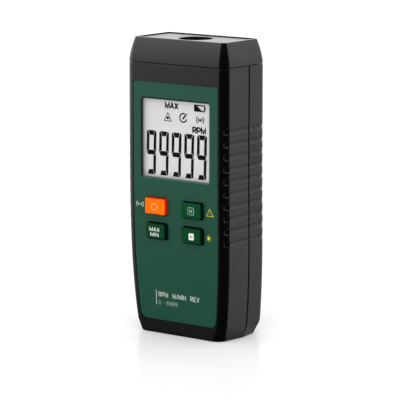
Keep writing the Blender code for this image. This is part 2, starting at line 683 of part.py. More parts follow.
def build_rear_case(shell, plastic):
    """The rear half of the body, with the battery bay, the tripod boss, the screw tubes and the saddle."""
    case = shell
    cut(case, bowed_block("front_half", BODY_WIDTH, -WALL, BODY_HEIGHT,
                          lambda z: -BODY_DEPTH * 2, lambda z: seam_y(z) + SEAM_GAP / 2))
    inside = WALL * 0.7
    battery_front = battery_back() - BATTERY_DEPTH
    bay_front = battery_front - BAY_GAP - BAY_FLOOR
    bay_half = DOOR_HALF_WIDTH + DOOR_GAP + BAY_RIM
    bay_low = DOOR_BOTTOM - DOOR_GAP - BAY_RIM
    bay_high = DOOR_TOP + DOOR_GAP + BAY_RIM
    add(case, bowed_block("bay", bay_half, bay_low, bay_high,
                          lambda z: bay_front, lambda z: back_y(z) - inside))
    parts = []
    for x, z in CASE_SCREWS:
        parts.append(turned_y("tube", [(CASE_POST_RADIUS, seam_y(z) + SEAM_GAP / 2),
                                       (CASE_POST_RADIUS, back_y(z) - inside)], (x, z), SCREW_STEPS))
    boss_radius = INSERT_RADIUS + SEAT + INSERT_BOSS_WALL
    rear = back_y(INSERT_HEIGHT)
    boss_front = rear - PANEL_INSET - INSERT_LENGTH - SEAT - BAY_FLOOR
    parts.append(turned_y("boss", [(boss_radius, boss_front), (boss_radius, rear - inside)],
                          (0.0, INSERT_HEIGHT)))
    for side in (-1, 1):
        low_x = side * (OPTICS_WIDTH / 2 - SADDLE_INSET) - SADDLE_THICKNESS / 2
        high_x = low_x + SADDLE_THICKNESS
        outline = [(OPTICS_BACK - SADDLE_FOOT, OPTICS_BOTTOM - SEAT - SADDLE_FOOT_HEIGHT),
                   (rear - inside, OPTICS_BOTTOM - SEAT - SADDLE_FOOT_HEIGHT),
                   (rear - inside, CASE_TOP - 2 * SPIGOT_LENGTH),
                   (OPTICS_BACK + SEAT, CASE_TOP - 2 * SPIGOT_LENGTH),
                   (OPTICS_BACK + SEAT, OPTICS_BOTTOM - SEAT),
                   (OPTICS_BACK - SADDLE_FOOT, OPTICS_BOTTOM - SEAT)]
        parts.append(loft("saddle", [[(x, y, z) for y, z in outline] for x in (low_x, high_x)]))
    add(case, joined("parts", parts))

    battery_half = BATTERY_WIDTH / 2 + BAY_GAP
    bay_top = contact_board_top() + BAY_GAP
    outside = BODY_DEPTH * 2
    cut(case, box("bay_inside", (-battery_half, battery_front - BAY_GAP, BATTERY_BOTTOM - BAY_GAP),
                  (battery_half, outside, bay_top)))
    cut(case, bowed_block("doorway", DOOR_HALF_WIDTH + DOOR_GAP, DOOR_BOTTOM - DOOR_GAP, DOOR_TOP + DOOR_GAP,
                          lambda z: back_y(z) - WALL - DOOR_GAP, lambda z: outside))
    cut(case, turned_x("hinge_room", DOOR_HINGE_RADIUS + DOOR_GAP, -DOOR_HALF_WIDTH - DOOR_GAP,
                       DOOR_HALF_WIDTH + DOOR_GAP, hinge_axis()))
    pin_reach = DOOR_HALF_WIDTH + DOOR_PIN_LENGTH + DOOR_GAP
    cut(case, turned_x("pin_holes", DOOR_PIN_RADIUS + DOOR_PIN_GAP, -pin_reach, pin_reach, hinge_axis(),
                       SCREW_STEPS))
    thumb_z = DOOR_TOP + DOOR_GAP
    thumb_y = back_y(thumb_z) - THUMB_DEPTH + THUMB_RADIUS
    cut(case, turned_x("thumb", THUMB_RADIUS, -THUMB_LENGTH / 2, THUMB_LENGTH / 2,
                       (thumb_y, thumb_z + THUMB_DEPTH), FINE_STEPS))
    socket = INSERT_RADIUS + SEAT
    tools = [turned_y("socket", [(socket, boss_front + BAY_FLOOR), (socket, outside)], (0.0, INSERT_HEIGHT))]
    for x, z in CASE_SCREWS:
        shaft = CASE_SCREW_RADIUS + SCREW_GAP
        head = CASE_SCREW_HEAD_RADIUS + SCREW_GAP
        seat = back_y(z) - CASE_SCREW_SINK - CASE_SCREW_HEAD - SCREW_GAP
        start = seam_y(z) - WALL
        tools.append(turned_y("bore", [(shaft, start), (shaft, seat), (head, seat), (head, outside)], (x, z),
                              PLUG_STEPS))
    cut(case, joined("bores", tools))
    return finish(case, plastic, 42)


def build_top_cap(plastic):
    """The nose: a cap with a leaning rim, a sunk floor, the round aperture and a spigot into the body."""
    floor_top = BODY_HEIGHT - NOSE_RECESS_DEPTH
    bend_steps = 8
    levels = [CAP_BOTTOM + (BODY_HEIGHT - CAP_BOTTOM) * step / bend_steps for step in range(bend_steps + 1)]
    cap = loft("top_cap", [cap_ring(z) for z in levels])
    spigot_inset = WALL + SEAT
    spigot_bottom = CASE_TOP - SPIGOT_LENGTH
    spigot_top = CAP_BOTTOM + SPIGOT_ROOT_HEIGHT / 2
    add(cap, loft("spigot", [cap_ring(z, spigot_inset, INNER_STEPS) for z in (spigot_bottom, spigot_top)]))
    root = CAP_BOTTOM + SPIGOT_ROOT_HEIGHT
    narrow = spigot_inset + SPIGOT_WALL
    hollow = []
    for z, inset in ((spigot_bottom - WALL, narrow), (root, narrow), (root + narrow - NOSE_WALL, NOSE_WALL),
                     (floor_top - NOSE_FLOOR, NOSE_WALL)):
        hollow.append(cap_ring(z, inset, INNER_STEPS))
    cut(cap, loft("hollow", hollow))
    centre = (0.0, MIDDLE_Y)
    collar = APERTURE_RADIUS + COLLAR_WALL
    add(cap, turned("collar", [(collar, OPTICS_TOP + SLIDE_GAP), (collar, floor_top - NOSE_FLOOR / 2)], centre,
                    FINE_STEPS))
    rim = [(x, y) for x, y, z in cap_ring(BODY_HEIGHT, NOSE_RIM)]
    cut(cap, stack_z("recess", rim, floor_top, BODY_HEIGHT + NOSE_RIM))
    cut(cap, turned("aperture", [(APERTURE_RADIUS, OPTICS_TOP - WALL), (APERTURE_RADIUS, BODY_HEIGHT + WALL)],
                    centre, FINE_STEPS))
    return finish(cap, plastic, 42)


def build_face_panel(plastic):
    panel = panel_slab("face_panel", 0.0, PANEL_INSET, PANEL_INSET + PANEL_THICKNESS)
    cut(panel, display_prism("opening", 0.0, FRONT_Y - WALL, FRONT_Y + WALL))
    cut(panel, key_openings("key_openings", KEY_GAP))
    return finish(panel, plastic)


# The display

def build_display(clear, glass, white, rubber):
    near = FRONT_Y + POCKET_DEPTH
    window = display_prism("display_window", WINDOW_MARGIN, near, near + WINDOW_THICKNESS)
    finish(window, clear)
    glass_outline = round_rect(GLASS_HALF_WIDTH, GLASS_HALF_HEIGHT, GLASS_CORNER, steps=1,
                               centre=(0.0, DISPLAY_CENTRE))
    finish(stack_y("lcd_glass", glass_outline, GLASS_FRONT, GLASS_BACK), glass)
    low = DISPLAY_CENTRE - GLASS_HALF_HEIGHT
    high = DISPLAY_CENTRE + GLASS_HALF_HEIGHT
    backlight_y = GLASS_BACK + SEAT
    backlight = box("backlight_panel",
                    (-GLASS_HALF_WIDTH + SEAT, backlight_y, low + ZEBRA_HEIGHT + 2 * SEAT + FRAME_WALL),
                    (GLASS_HALF_WIDTH - SEAT, backlight_y + BACKLIGHT_THICKNESS, high - SEAT))
    finish(backlight, white)
    frame = stack_y("lcd_frame", round_rect(GLASS_HALF_WIDTH + SEAT + FRAME_WALL,
                                            GLASS_HALF_HEIGHT + SEAT + FRAME_WALL, FRAME_WALL,
                                            steps=3, centre=(0.0, DISPLAY_CENTRE)),
                    GLASS_FRONT, BOARD_FRONT - SEAT)
    inner = round_rect(GLASS_HALF_WIDTH + SEAT, GLASS_HALF_HEIGHT + SEAT, GLASS_CORNER, steps=1,
                       centre=(0.0, DISPLAY_CENTRE))
    cut(frame, stack_y("inside", inner, FRONT_Y, BOARD_BACK))
    finish(frame, white)
    half = DISPLAY_WIDTH / 2 - ZEBRA_MARGIN
    zebra = box("zebra_strip", (-half, GLASS_BACK + SEAT, low + SEAT),
                (half, BOARD_FRONT - SEAT, low + SEAT + ZEBRA_HEIGHT))
    finish(zebra, rubber)


# The keys and their switches

def build_key(name, x, z, width, height, plastic):
    """A key cap: a drafted block with a rounded shoulder in front and a lip behind the case wall."""
    front = front_y(z) - KEY_PROUD
    lip_front = front_y(z - height / 2 - KEY_LIP) + WALL + SEAT
    profile = []
    shoulder_steps = 4
    for step in range(shoulder_steps + 1):
        angle = math.pi / 2 * step / shoulder_steps
        profile.append((front + KEY_SHOULDER * (1 - math.sin(math.pi / 2 - angle)),
                        -KEY_DRAFT - KEY_SHOULDER * (1 - math.sin(angle))))
    profile += [(front_y(z), 0.0), (lip_front, 0.0), (lip_front, KEY_LIP), (KEY_BACK, KEY_LIP)]
    rings = []
    for y, grow in profile:
        corner = max(KEY_CORNER + grow, LEAST_RADIUS)
        outline = round_rect(width / 2 + grow, height / 2 + grow, corner, steps=4, centre=(x, z))
        rings.append([(u, y, v) for u, v in outline])
    key = loft("key_" + name, rings)
    finish(key, plastic, 40)
    move_origin(key, (x, front_y(z), z))
    return key


def build_switch(name, x, z, key, housing, metal):
    """A tact switch on the board, and the plunger that goes down with the key."""
    half = SWITCH_SIZE / 2
    body = box("switch_" + name, (x - half, SWITCH_FRONT, z - half), (x + half, BOARD_FRONT - SEAT, z + half))
    bore = PLUNGER_RADIUS + PLUNGER_GAP
    plunger_end = SWITCH_FRONT + PLUNGER_ENTRY
    bore_end = plunger_end + KEY_TRAVEL + SLIDE_GAP
    cut(body, turned_y("bore", [(bore, SWITCH_FRONT - WALL), (bore, bore_end)], (x, z), SCREW_STEPS))
    finish(body, housing)
    profile = [(PLUNGER_RADIUS, KEY_BACK + SEAT), (PLUNGER_RADIUS, plunger_end)]
    plunger = turned_y("plunger_" + name, profile, (x, z), SCREW_STEPS)
    finish(plunger, metal, 40)
    move_origin(plunger, key.location)
    plunger.parent = key
    plunger.location = (0.0, 0.0, 0.0)


# The board

def build_board(fibre, black, steel):
    board = box("main_board", (-BOARD_HALF_WIDTH, BOARD_FRONT, BOARD_BOTTOM),
                (BOARD_HALF_WIDTH, BOARD_BACK, BOARD_TOP))
    holes = []
    for x, z in BOARD_SCREWS:
        radius = BOARD_SCREW_RADIUS + SCREW_GAP
        holes.append(turned_y("hole", [(radius, BOARD_FRONT - WALL), (radius, BOARD_BACK + WALL)], (x, z),
                              SCREW_STEPS))
    cut(board, joined("holes", holes))
    finish(board, fibre)
    behind = BOARD_BACK + SEAT
    half = PROCESSOR_SIZE / 2
    x, z = PROCESSOR_X, BOARD_TOP - PROCESSOR_DROP
    finish(box("processor", (x - half, behind, z - half),
               (x + half, behind + PROCESSOR_THICKNESS, z + half)), black)
    x, z = RADIO_EDGE_INSET - BOARD_HALF_WIDTH, BOARD_TOP - RADIO_DROP
    finish(box("radio_module", (x, behind, z - RADIO_HEIGHT / 2),
               (x + RADIO_WIDTH, behind + RADIO_THICKNESS, z + RADIO_HEIGHT / 2)), steel)


def build_screw(name, x, z, head_back, head_radius, head_height, shaft_radius, shaft_front, steel):
    """A pan-head screw along Y with a cross slot, driven in from the back."""
    seat = head_back - head_height
    profile = [(shaft_radius * 0.7, shaft_front), (shaft_radius, shaft_front + shaft_radius),
               (shaft_radius, seat), (head_radius, seat), (head_radius, head_back - head_height * 0.4),
               (head_radius * 0.8, head_back)]
    screw = turned_y(name, profile, (x, z), SCREW_STEPS)
    half = DRIVE_SLOT_WIDTH / 2
    reach = head_radius * 0.65
    cross = [(reach, half), (half, half), (half, reach), (-half, reach), (-half, half), (-reach, half),
             (-reach, -half), (-half, -half), (-half, -reach), (half, -reach), (half, -half), (reach, -half)]
    outline = [(x + u, z + v) for u, v in cross]
    cut(screw, stack_y("slot", outline, head_back - DRIVE_SLOT_DEPTH, head_back + head_height))
    finish(screw, steel, 40)


def build_screws(steel):
    for number, (x, z) in enumerate(CASE_SCREWS, 1):
        head_back = back_y(z) - CASE_SCREW_SINK
        build_screw(f"case_screw_{number}", x, z, head_back, CASE_SCREW_HEAD_RADIUS, CASE_SCREW_HEAD,
                    CASE_SCREW_RADIUS, head_back - CASE_SCREW_HEAD - CASE_SCREW_LENGTH, steel)
    for number, (x, z) in enumerate(BOARD_SCREWS, 1):
        head_front = BOARD_BACK + SEAT
        build_screw(f"board_screw_{number}", x, z, head_front + BOARD_SCREW_HEAD, BOARD_SCREW_HEAD_RADIUS,
                    BOARD_SCREW_HEAD, BOARD_SCREW_RADIUS, BOARD_FRONT - BOARD_SCREW_GRIP, steel)


# The optics

def build_optics(black, glass, dark_glass, brass, fibre, chip):
    """The holder behind the board's top end, with the lens and the laser side by side in the aperture."""
    front = BOARD_BACK + SEAT
    middle = MIDDLE_Y
    outline = round_rect(OPTICS_WIDTH / 2, (OPTICS_BACK - front) / 2, OPTICS_CORNER, steps=3,
                         centre=(0.0, (OPTICS_BACK + front) / 2))
    block = stack_z("optics_block", outline, OPTICS_BOTTOM, OPTICS_TOP)
    lens_seat = OPTICS_TOP - LENS_SEAT_DEPTH
    wide = LENS_RADIUS + SEAT
    cut(block, turned("light_tube", [(LIGHT_TUBE_RADIUS, OPTICS_BOTTOM - WALL), (LIGHT_TUBE_RADIUS, lens_seat),
                                     (wide, lens_seat), (wide, OPTICS_TOP + WALL)], (LENS_X, middle)))
    laser_bottom = OPTICS_TOP - LASER_SINK - LASER_LENGTH
    bore = LASER_RADIUS + SEAT
    floor = laser_bottom - SEAT
    cut(block, turned("laser_bore", [(LASER_LEAD_RADIUS, OPTICS_BOTTOM - WALL), (LASER_LEAD_RADIUS, floor),
                                     (bore, floor), (bore, OPTICS_TOP + WALL)], (LASER_X, middle), PLUG_STEPS))
    finish(block, black, 40)

    rim = lens_seat + SEAT
    profile = [(LENS_RADIUS, rim)]
    crown_steps = 5
    for step in range(crown_steps):
        angle = math.pi / 2 * step / crown_steps
        profile.append((LENS_RADIUS * math.cos(angle), rim + LENS_EDGE + LENS_CROWN * math.sin(angle)))
    lens = turned("collecting_lens", profile, (LENS_X, middle))
    finish(lens, glass, 40)

    laser_top = OPTICS_TOP - LASER_SINK
    laser = turned("laser_module", [(LASER_RADIUS, laser_bottom), (LASER_RADIUS, laser_top)],
                   (LASER_X, middle), PLUG_STEPS)
    cut(laser, turned("beam_hole", [(LASER_BEAM_RADIUS, laser_top - LASER_BEAM_DEPTH),
                                    (LASER_BEAM_RADIUS, laser_top + WALL)], (LASER_X, middle), SCREW_STEPS))
    finish(laser, brass, 40)

    cover = APERTURE_RADIUS - SLIDE_GAP
    near = OPTICS_TOP + SEAT
    window = turned("aperture_window", [(cover, near), (cover, near + APERTURE_GLASS)],
                    (0.0, middle), FINE_STEPS)
    finish(window, dark_glass, 40)

    board_top = OPTICS_BOTTOM - SEAT
    board_front = front + SEAT
    half = OPTICS_WIDTH / 2 - SENSOR_BOARD_INSET
    sensor = box("sensor_board", (-half, board_front, board_top - SENSOR_BOARD_THICKNESS),
                 (half, board_front + SENSOR_BOARD_DEPTH, board_top))
    finish(sensor, fibre)
    low = board_top + SEAT
    diode = turned("photodiode", [(PHOTODIODE_RADIUS, low), (PHOTODIODE_RADIUS, low + PHOTODIODE_HEIGHT)],
                   (LENS_X, middle), SCREW_STEPS)
    finish(diode, chip, 40)


# The battery

def battery_top():
    return BATTERY_BOTTOM + BATTERY_BODY_HEIGHT + TERMINAL_HEIGHT


def contact_board_top():
    return battery_top() + SEAT + CONTACT_THICKNESS + SEAT + CONTACT_BOARD_THICKNESS


def build_battery(wrapper, nickel, fibre):
    back = battery_back()
    middle = back - BATTERY_DEPTH / 2
    shoulder = BATTERY_BOTTOM + BATTERY_BODY_HEIGHT
    soft = BATTERY_EDGE
    rings = []
    for z, inset in ((BATTERY_BOTTOM, soft), (BATTERY_BOTTOM + soft, 0.0),
                     (shoulder - soft, 0.0), (shoulder, soft)):
        outline = round_rect(BATTERY_WIDTH / 2 - inset, BATTERY_DEPTH / 2 - inset, BATTERY_CORNER - inset,
                             steps=4, centre=(0.0, middle))
        rings.append([(x, y, z) for x, y in outline])
    battery = loft("battery", rings)
    half = TERMINAL_SPACING / 2
    studs = []
    for x, radius in ((-half, TERMINAL_PLUS_RADIUS), (half, TERMINAL_MINUS_RADIUS)):
        studs.append(turned("stud", [(radius, shoulder - soft), (radius, battery_top())], (x, middle),
                            PLUG_STEPS))
    add(battery, joined("studs", studs))
    finish(battery, wrapper, 40)
    low = battery_top() + SEAT
    for name, x, radius in (("contact_plus", -half, TERMINAL_PLUS_RADIUS),
                            ("contact_minus", half, TERMINAL_MINUS_RADIUS)):
        contact = turned(name, [(radius, low), (radius, low + CONTACT_THICKNESS)], (x, middle), PLUG_STEPS)
        finish(contact, nickel, 40)
    board_low = low + CONTACT_THICKNESS + SEAT
    board = box("contact_board", (-BATTERY_WIDTH / 2, back - BATTERY_DEPTH, board_low),
                (BATTERY_WIDTH / 2, back, board_low + CONTACT_BOARD_THICKNESS))
    finish(board, fibre)


def build_battery_door(plastic):
    """A piece of the rear wall that swings out on two pins at its rounded lower edge."""
    axis = hinge_axis()
    levels = levels_between(0.0, CASE_TOP)
    door = loft("battery_door", [body_ring(z) for z in levels])
    keep(door, bowed_block("outline", DOOR_HALF_WIDTH, axis[1], DOOR_TOP,
                           lambda z: back_y(z) - WALL, lambda z: BODY_DEPTH * 2))
    add(door, turned_x("edge", DOOR_HINGE_RADIUS, -DOOR_HALF_WIDTH, DOOR_HALF_WIDTH, axis))
    pins = []
    for side in (-1, 1):
        inner = side * (DOOR_HALF_WIDTH - DOOR_PIN_LENGTH)
        outer = side * (DOOR_HALF_WIDTH + DOOR_PIN_LENGTH)
        pins.append(turned_x("pin", DOOR_PIN_RADIUS, min(inner, outer), max(inner, outer), axis, SCREW_STEPS))
    add(door, joined("pins", pins))
    grooves = []
    for index in range(DOOR_GROOVE_COUNT):
        z = DOOR_TOP - (index + 1.5) * DOOR_GROOVE_PITCH
        low = (-DOOR_GROOVE_LENGTH / 2, back_y(z) - DOOR_GROOVE_DEPTH, z - DOOR_GROOVE_HEIGHT / 2)
        high = (DOOR_GROOVE_LENGTH / 2, BODY_DEPTH * 2, z + DOOR_GROOVE_HEIGHT / 2)
        grooves.append(box("groove", low, high))
    cut(door, joined("grooves", grooves))
    finish(door, plastic, 42)
    move_origin(door, (0.0, axis[0], axis[1]))


def build_tripod_insert(brass):
    rear = back_y(INSERT_HEIGHT) - PANEL_INSET
    insert = turned_y("tripod_insert", [(INSERT_RADIUS, rear - INSERT_LENGTH), (INSERT_RADIUS, rear)],
                      (0.0, INSERT_HEIGHT))
    cut(insert, turned_y("bore", [(INSERT_BORE_RADIUS, rear - INSERT_LENGTH - WALL),
                                  (INSERT_BORE_RADIUS, rear + WALL)], (0.0, INSERT_HEIGHT)))
    finish(insert, brass, 40)


def main():
    for obj in list(bpy.data.objects):
        bpy.data.objects.remove(obj)
    black_plastic = surface("black_abs", (44, 44, 45), 0.42)
    green_panel = surface("green_panel", (43, 84, 68), 0.45)
    green_key = surface("green_key", (10, 84, 50), 0.45)
    orange_key = surface("orange_key", (250, 110, 20), 0.42)
    clear = surface("clear_acrylic", (235, 240, 240), 0.05, alpha=0.25)
    display_glass = surface("display_glass", (205, 206, 204), 0.2)
    dark_glass = surface("dark_filter", (30, 8, 10), 0.05, alpha=0.6)
    lens_glass = surface("lens_glass", (220, 230, 235), 0.03, alpha=0.5)
    white_plastic = surface("white_plastic", (225, 225, 220), 0.5)
    rubber = surface("pink_rubber", (190, 120, 120), 0.7)
    fibre = surface("green_fibre_board", (24, 92, 52), 0.5)
    chip = surface("chip_resin", (25, 25, 27), 0.55)
    steel = surface("zinc_steel", (185, 186, 190), 0.3, 1.0)
    brass = surface("brass", (205, 165, 85), 0.3, 1.0)
    wrapper = surface("battery_wrapper", (40, 42, 48), 0.4)

    build_front_case(body_shell("front_case"), black_plastic)
    build_rear_case(body_shell("rear_case"), black_plastic)
    build_top_cap(black_plastic)
    build_face_panel(green_panel)
    build_display(clear, display_glass, white_plastic, rubber)
    for name, (x, z, width, height) in KEYS.items():
        key = build_key(name, x, z, width, height, orange_key if name == "power" else green_key)
        build_switch(name, x, z, key, chip, steel)
    build_board(fibre, chip, steel)
    build_screws(steel)
    build_optics(black_plastic, lens_glass, dark_glass, brass, fibre, chip)
    build_battery(wrapper, steel, fibre)
    build_battery_door(black_plastic)
    build_tripod_insert(brass)


main()
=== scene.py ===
import math

import bmesh
import bpy
import numpy as np
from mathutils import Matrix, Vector


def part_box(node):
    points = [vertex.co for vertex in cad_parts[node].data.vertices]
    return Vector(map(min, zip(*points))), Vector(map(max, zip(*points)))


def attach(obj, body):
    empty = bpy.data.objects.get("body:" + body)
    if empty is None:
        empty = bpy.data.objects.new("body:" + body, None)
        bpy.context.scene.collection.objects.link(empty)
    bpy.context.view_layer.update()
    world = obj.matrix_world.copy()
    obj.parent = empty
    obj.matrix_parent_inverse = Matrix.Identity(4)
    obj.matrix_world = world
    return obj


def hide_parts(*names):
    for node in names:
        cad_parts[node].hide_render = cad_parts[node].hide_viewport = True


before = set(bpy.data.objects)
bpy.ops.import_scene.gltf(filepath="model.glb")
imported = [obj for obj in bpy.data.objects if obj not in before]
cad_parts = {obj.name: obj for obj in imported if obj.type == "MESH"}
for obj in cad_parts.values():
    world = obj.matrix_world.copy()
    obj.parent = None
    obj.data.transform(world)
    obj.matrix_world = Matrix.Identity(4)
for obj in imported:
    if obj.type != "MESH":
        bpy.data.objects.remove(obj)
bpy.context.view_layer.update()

# Sizes of the case in metres, the same as in the part's source.
caseShape = {
    "height": 0.1604, "halfWidth": 0.033, "depth": 0.0370, "corner": 0.0044, "wall": 0.00225,
    "capSeam": 0.14705, "seamGap": 0.0003, "frontShell": 0.0213, "bowStart": 0.100, "bowRadius": 1.613,
    "taperStart": 0.085, "taperDepth": 0.00417, "taperPower": 3.06, "footCut": 0.00645, "footSoft": 0.0005,
    "footWidth": 0.0009, "footBack": 0.0030, "footCorner": 0.0060, "footRidge": 0.00155, "footJog": 0.0032,
    "baseEdge": 0.0005, "keyRow": 0.0703, "keyProud": 0.0025, "fit": 0.00025,
}
# Places outside the case, where a cut that runs through it may end.
outside = {"beside": 0.06, "behind": 0.08, "above": 0.17}


# The case's forms as functions of the height

def bowAt(z):
    # a large circle below its start: the drop squared over twice the radius
    return np.maximum(0.0, caseShape["bowStart"] - z) ** 2 / (2 * caseShape["bowRadius"])


def footShare(z):
    # 0 above the slanted cut, 1 at the base, with a parabola where the cut begins
    soft = caseShape["footSoft"]
    drop = caseShape["footCut"] - z
    bend = (drop + soft) ** 2 / (4 * soft)
    return np.where(drop <= -soft, 0.0, np.where(drop >= soft, drop, bend)) / caseShape["footCut"]


def halfWidthAt(z):
    # half the width, less a power of the drop below the taper's start, less the foot's step
    drop = np.maximum(0.0, caseShape["taperStart"] - z) / caseShape["taperStart"]
    return (caseShape["halfWidth"] - caseShape["taperDepth"] * drop ** caseShape["taperPower"]
            - caseShape["footWidth"] * footShare(z))


footTop = caseShape["footCut"] + caseShape["footSoft"]
frontY = (caseShape["keyProud"] - bowAt(caseShape["keyRow"]) - caseShape["depth"] - bowAt(footTop)) / 2
middleY = frontY + caseShape["depth"] / 2
caseTop = caseShape["capSeam"] - caseShape["seamGap"] / 2
capBottom = caseShape["capSeam"] + caseShape["seamGap"] / 2


def frontAt(z):
    # the front's own place, pushed back by the circle
    return frontY + bowAt(z)


def backAt(z):
    # one depth behind the front, and drawn in over the foot's cut
    return frontY + caseShape["depth"] + bowAt(z) - caseShape["footBack"] * footShare(z)


def seamAt(z):
    # the front shell's depth behind the front, with a jog forward over the foot's cut
    return frontY + caseShape["frontShell"] + bowAt(z) - caseShape["footJog"] * footShare(z)


def roundedEdge(gap, radius):
    # how far a quarter circle draws in at a distance from its end
    left = np.clip(radius - gap, 0.0, radius)
    return radius - np.sqrt(np.maximum(0.0, radius ** 2 - left ** 2))


# Meshes

def addPiece(name, shape):
    # an object in the scene out of a finished bmesh
    mesh = bpy.data.meshes.new(name)
    shape.to_mesh(mesh)
    shape.free()
    piece = bpy.data.objects.new(name, mesh)
    bpy.context.scene.collection.objects.link(piece)
    return piece


def makeMesh(name, rings, ringClosed=True, pathClosed=False):
    # rings[i, j] is point j of ring i; neighbours are joined by four-sided faces and open ends get one face each;
    # then doubled points are merged and all faces turned outwards
    rings = np.asarray(rings, dtype=float)
    count, width = rings.shape[:2]
    rows = np.arange(count if pathClosed else count - 1)
    columns = np.arange(width if ringClosed else width - 1)
    i, j = np.meshgrid(rows, columns, indexing="ij")
    nextI, nextJ = (i + 1) % count, (j + 1) % width
    quads = np.stack([i * width + j, i * width + nextJ, nextI * width + nextJ, nextI * width + j], -1)
    faces = quads.reshape(-1, 4).tolist()
    if ringClosed and not pathClosed:
        faces += [list(range(width))[::-1], list(range((count - 1) * width, count * width))]
    loose = bpy.data.meshes.new(name)
    loose.from_pydata(rings.reshape(-1, 3).tolist(), [], faces)
    shape = bmesh.new()
    shape.from_mesh(loose)
    bpy.data.meshes.remove(loose)
    bmesh.ops.remove_doubles(shape, verts=shape.verts, dist=1e-7)
    bmesh.ops.recalc_face_normals(shape, faces=shape.faces)
    return addPiece(name, shape)


def mergePieces(name, pieces):
    # one object out of several closed bodies
    shape = bmesh.new()
    for piece in pieces:
        shape.from_mesh(piece.data)
        bpy.data.objects.remove(piece)
    return addPiece(name, shape)


def shapeWith(piece, tool, operation):
    # the piece joined with its tool, cut by it or limited to it; the tool is used up
    step = piece.modifiers.new("shape", "BOOLEAN")
    step.operation = operation
    step.solver = "EXACT"
    step.object = tool
    bpy.context.view_layer.update()
    result = bpy.data.meshes.new_from_object(piece.evaluated_get(bpy.context.evaluated_depsgraph_get()))
    piece.modifiers.clear()
    piece.data = result
    bpy.data.objects.remove(tool)


def cutAway(piece, *tools):
    # the piece less each tool in turn
    for tool in tools:
        shapeWith(piece, tool, "DIFFERENCE")


def smoothFaces(piece, angle=32, weighted=True):
    # smooth shading, but for edges that turn by more than the angle
    piece.data.shade_smooth()
    piece.data.set_sharp_from_angle(angle=math.radians(angle))
    if weighted:
        even = piece.modifiers.new("evenNormals", "WEIGHTED_NORMAL")  # keeps wide flats flat beside small rounds
        even.keep_sharp = True
        even.weight = 50
    return piece


def dress(piece, material, body, slotName, *replaced):
    # one material, the body that carries the piece, a slot's name that is not used, and the nodes that it stands for
    piece.data.materials.clear()
    piece.data.materials.append(material)
    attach(piece, body)
    if replaced:
        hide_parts(*replaced)
    return piece


def facesOf(piece):
    # the normals and the middles of all faces, as rows of three numbers
    rows = np.empty((2, len(piece.data.polygons) * 3))
    piece.data.polygons.foreach_get("normal", rows[0])
    piece.data.polygons.foreach_get("center", rows[1])
    return rows.reshape(2, -1, 3)


def paintFaces(piece, material, chosen):
    # a second material on the chosen faces
    piece.data.materials.append(material)
    piece.data.polygons.foreach_set("material_index", chosen.astype(np.int32))


def ringPoints(outline, level, axis):
    # a flat outline at one place along an axis
    outline = np.asarray(outline, dtype=float)
    flat = np.full(len(outline), float(level))
    a, b = outline[:, 0], outline[:, 1]
    return {"x": np.stack([flat, a, b], 1), "y": np.stack([a, flat, b], 1), "z": np.stack([a, b, flat], 1)}[axis]


def prism(name, outline, levels, axis):
    # an outline carried along an axis, the same at every level
    return makeMesh(name, np.stack([ringPoints(outline, level, axis) for level in levels]))


def roundRect(halfU, halfV, radius, steps=8, centre=(0.0, 0.0)):
    # four quarter circles at the corners of a rectangle, anticlockwise; columns of sizes give one outline a row
    angle = np.concatenate([np.linspace(k, k + 1, steps + 1) for k in range(4)]) * math.pi / 2
    signU = np.repeat([1, -1, -1, 1], steps + 1)
    signV = np.repeat([1, 1, -1, -1], steps + 1)
    return np.stack([centre[0] + signU * (halfU - radius) + radius * np.cos(angle),
                     centre[1] + signV * (halfV - radius) + radius * np.sin(angle)], -1)


def circlePoints(radius, steps=48, centre=(0.0, 0.0)):
    # points at equal steps of angle round a centre
    angle = np.arange(steps) * 2 * math.pi / steps
    return np.stack([centre[0] + radius * np.cos(angle), centre[1] + radius * np.sin(angle)], 1)


def turned(name, profile, centre, axis, steps=48):
    # circles whose radius follows a profile along an axis
    return makeMesh(name, np.stack([ringPoints(circlePoints(radius, steps, centre), level, axis)
                                    for radius, level in profile]))


def uprightBar(name, z, left, right, near, far):
    # a bar with a four-sided section, whose sides and depths follow the height
    corners = ((left, near), (right, near), (right, far), (left, far))
    return makeMesh(name, np.stack([np.stack([x + 0 * z, y + 0 * z, z], 1) for x, y in corners], 1))


def blockAcross(name, halfX, levels, near, far):
    # a block across the case between two depths, which are functions of the height
    z = np.asarray(levels, dtype=float)
    return uprightBar(name, z, -halfX, halfX, near(z), far(z))


# Materials

def linear(hexColour):
    # a written sRGB colour as the renderer's linear values
    part = np.array([int(hexColour[k:k + 2], 16) for k in (1, 3, 5)]) / 255
    return (*np.where(part <= 0.04045, part / 12.92, ((part + 0.055) / 1.055) ** 2.4).tolist(), 1.0)


def addNode(tree, kind, sources, **settings):
    # a node with its settings; each source is a plain value or another node's output
    node = tree.nodes.new("ShaderNode" + kind)
    for key, value in settings.items():
        setattr(node, key, value)
    for socket, source in sources.items():
        if isinstance(source, bpy.types.NodeSocket):
            tree.links.new(source, node.inputs[socket])
        else:
            node.inputs[socket].default_value = source
    return node


def makeMaterial(name, colour, roughness, metallic=0.0, **sockets):
    # a Principled surface; further sockets are named with _ for a space
    material = bpy.data.materials.new(name)
    material.use_nodes = True
    values = {"Base Color": linear(colour), "Roughness": roughness, "Metallic": metallic, **sockets}
    for socket, value in values.items():
        material.node_tree.nodes["Principled BSDF"].inputs[socket.replace("_", " ")].default_value = value
    material.diffuse_color = linear(colour)
    return material


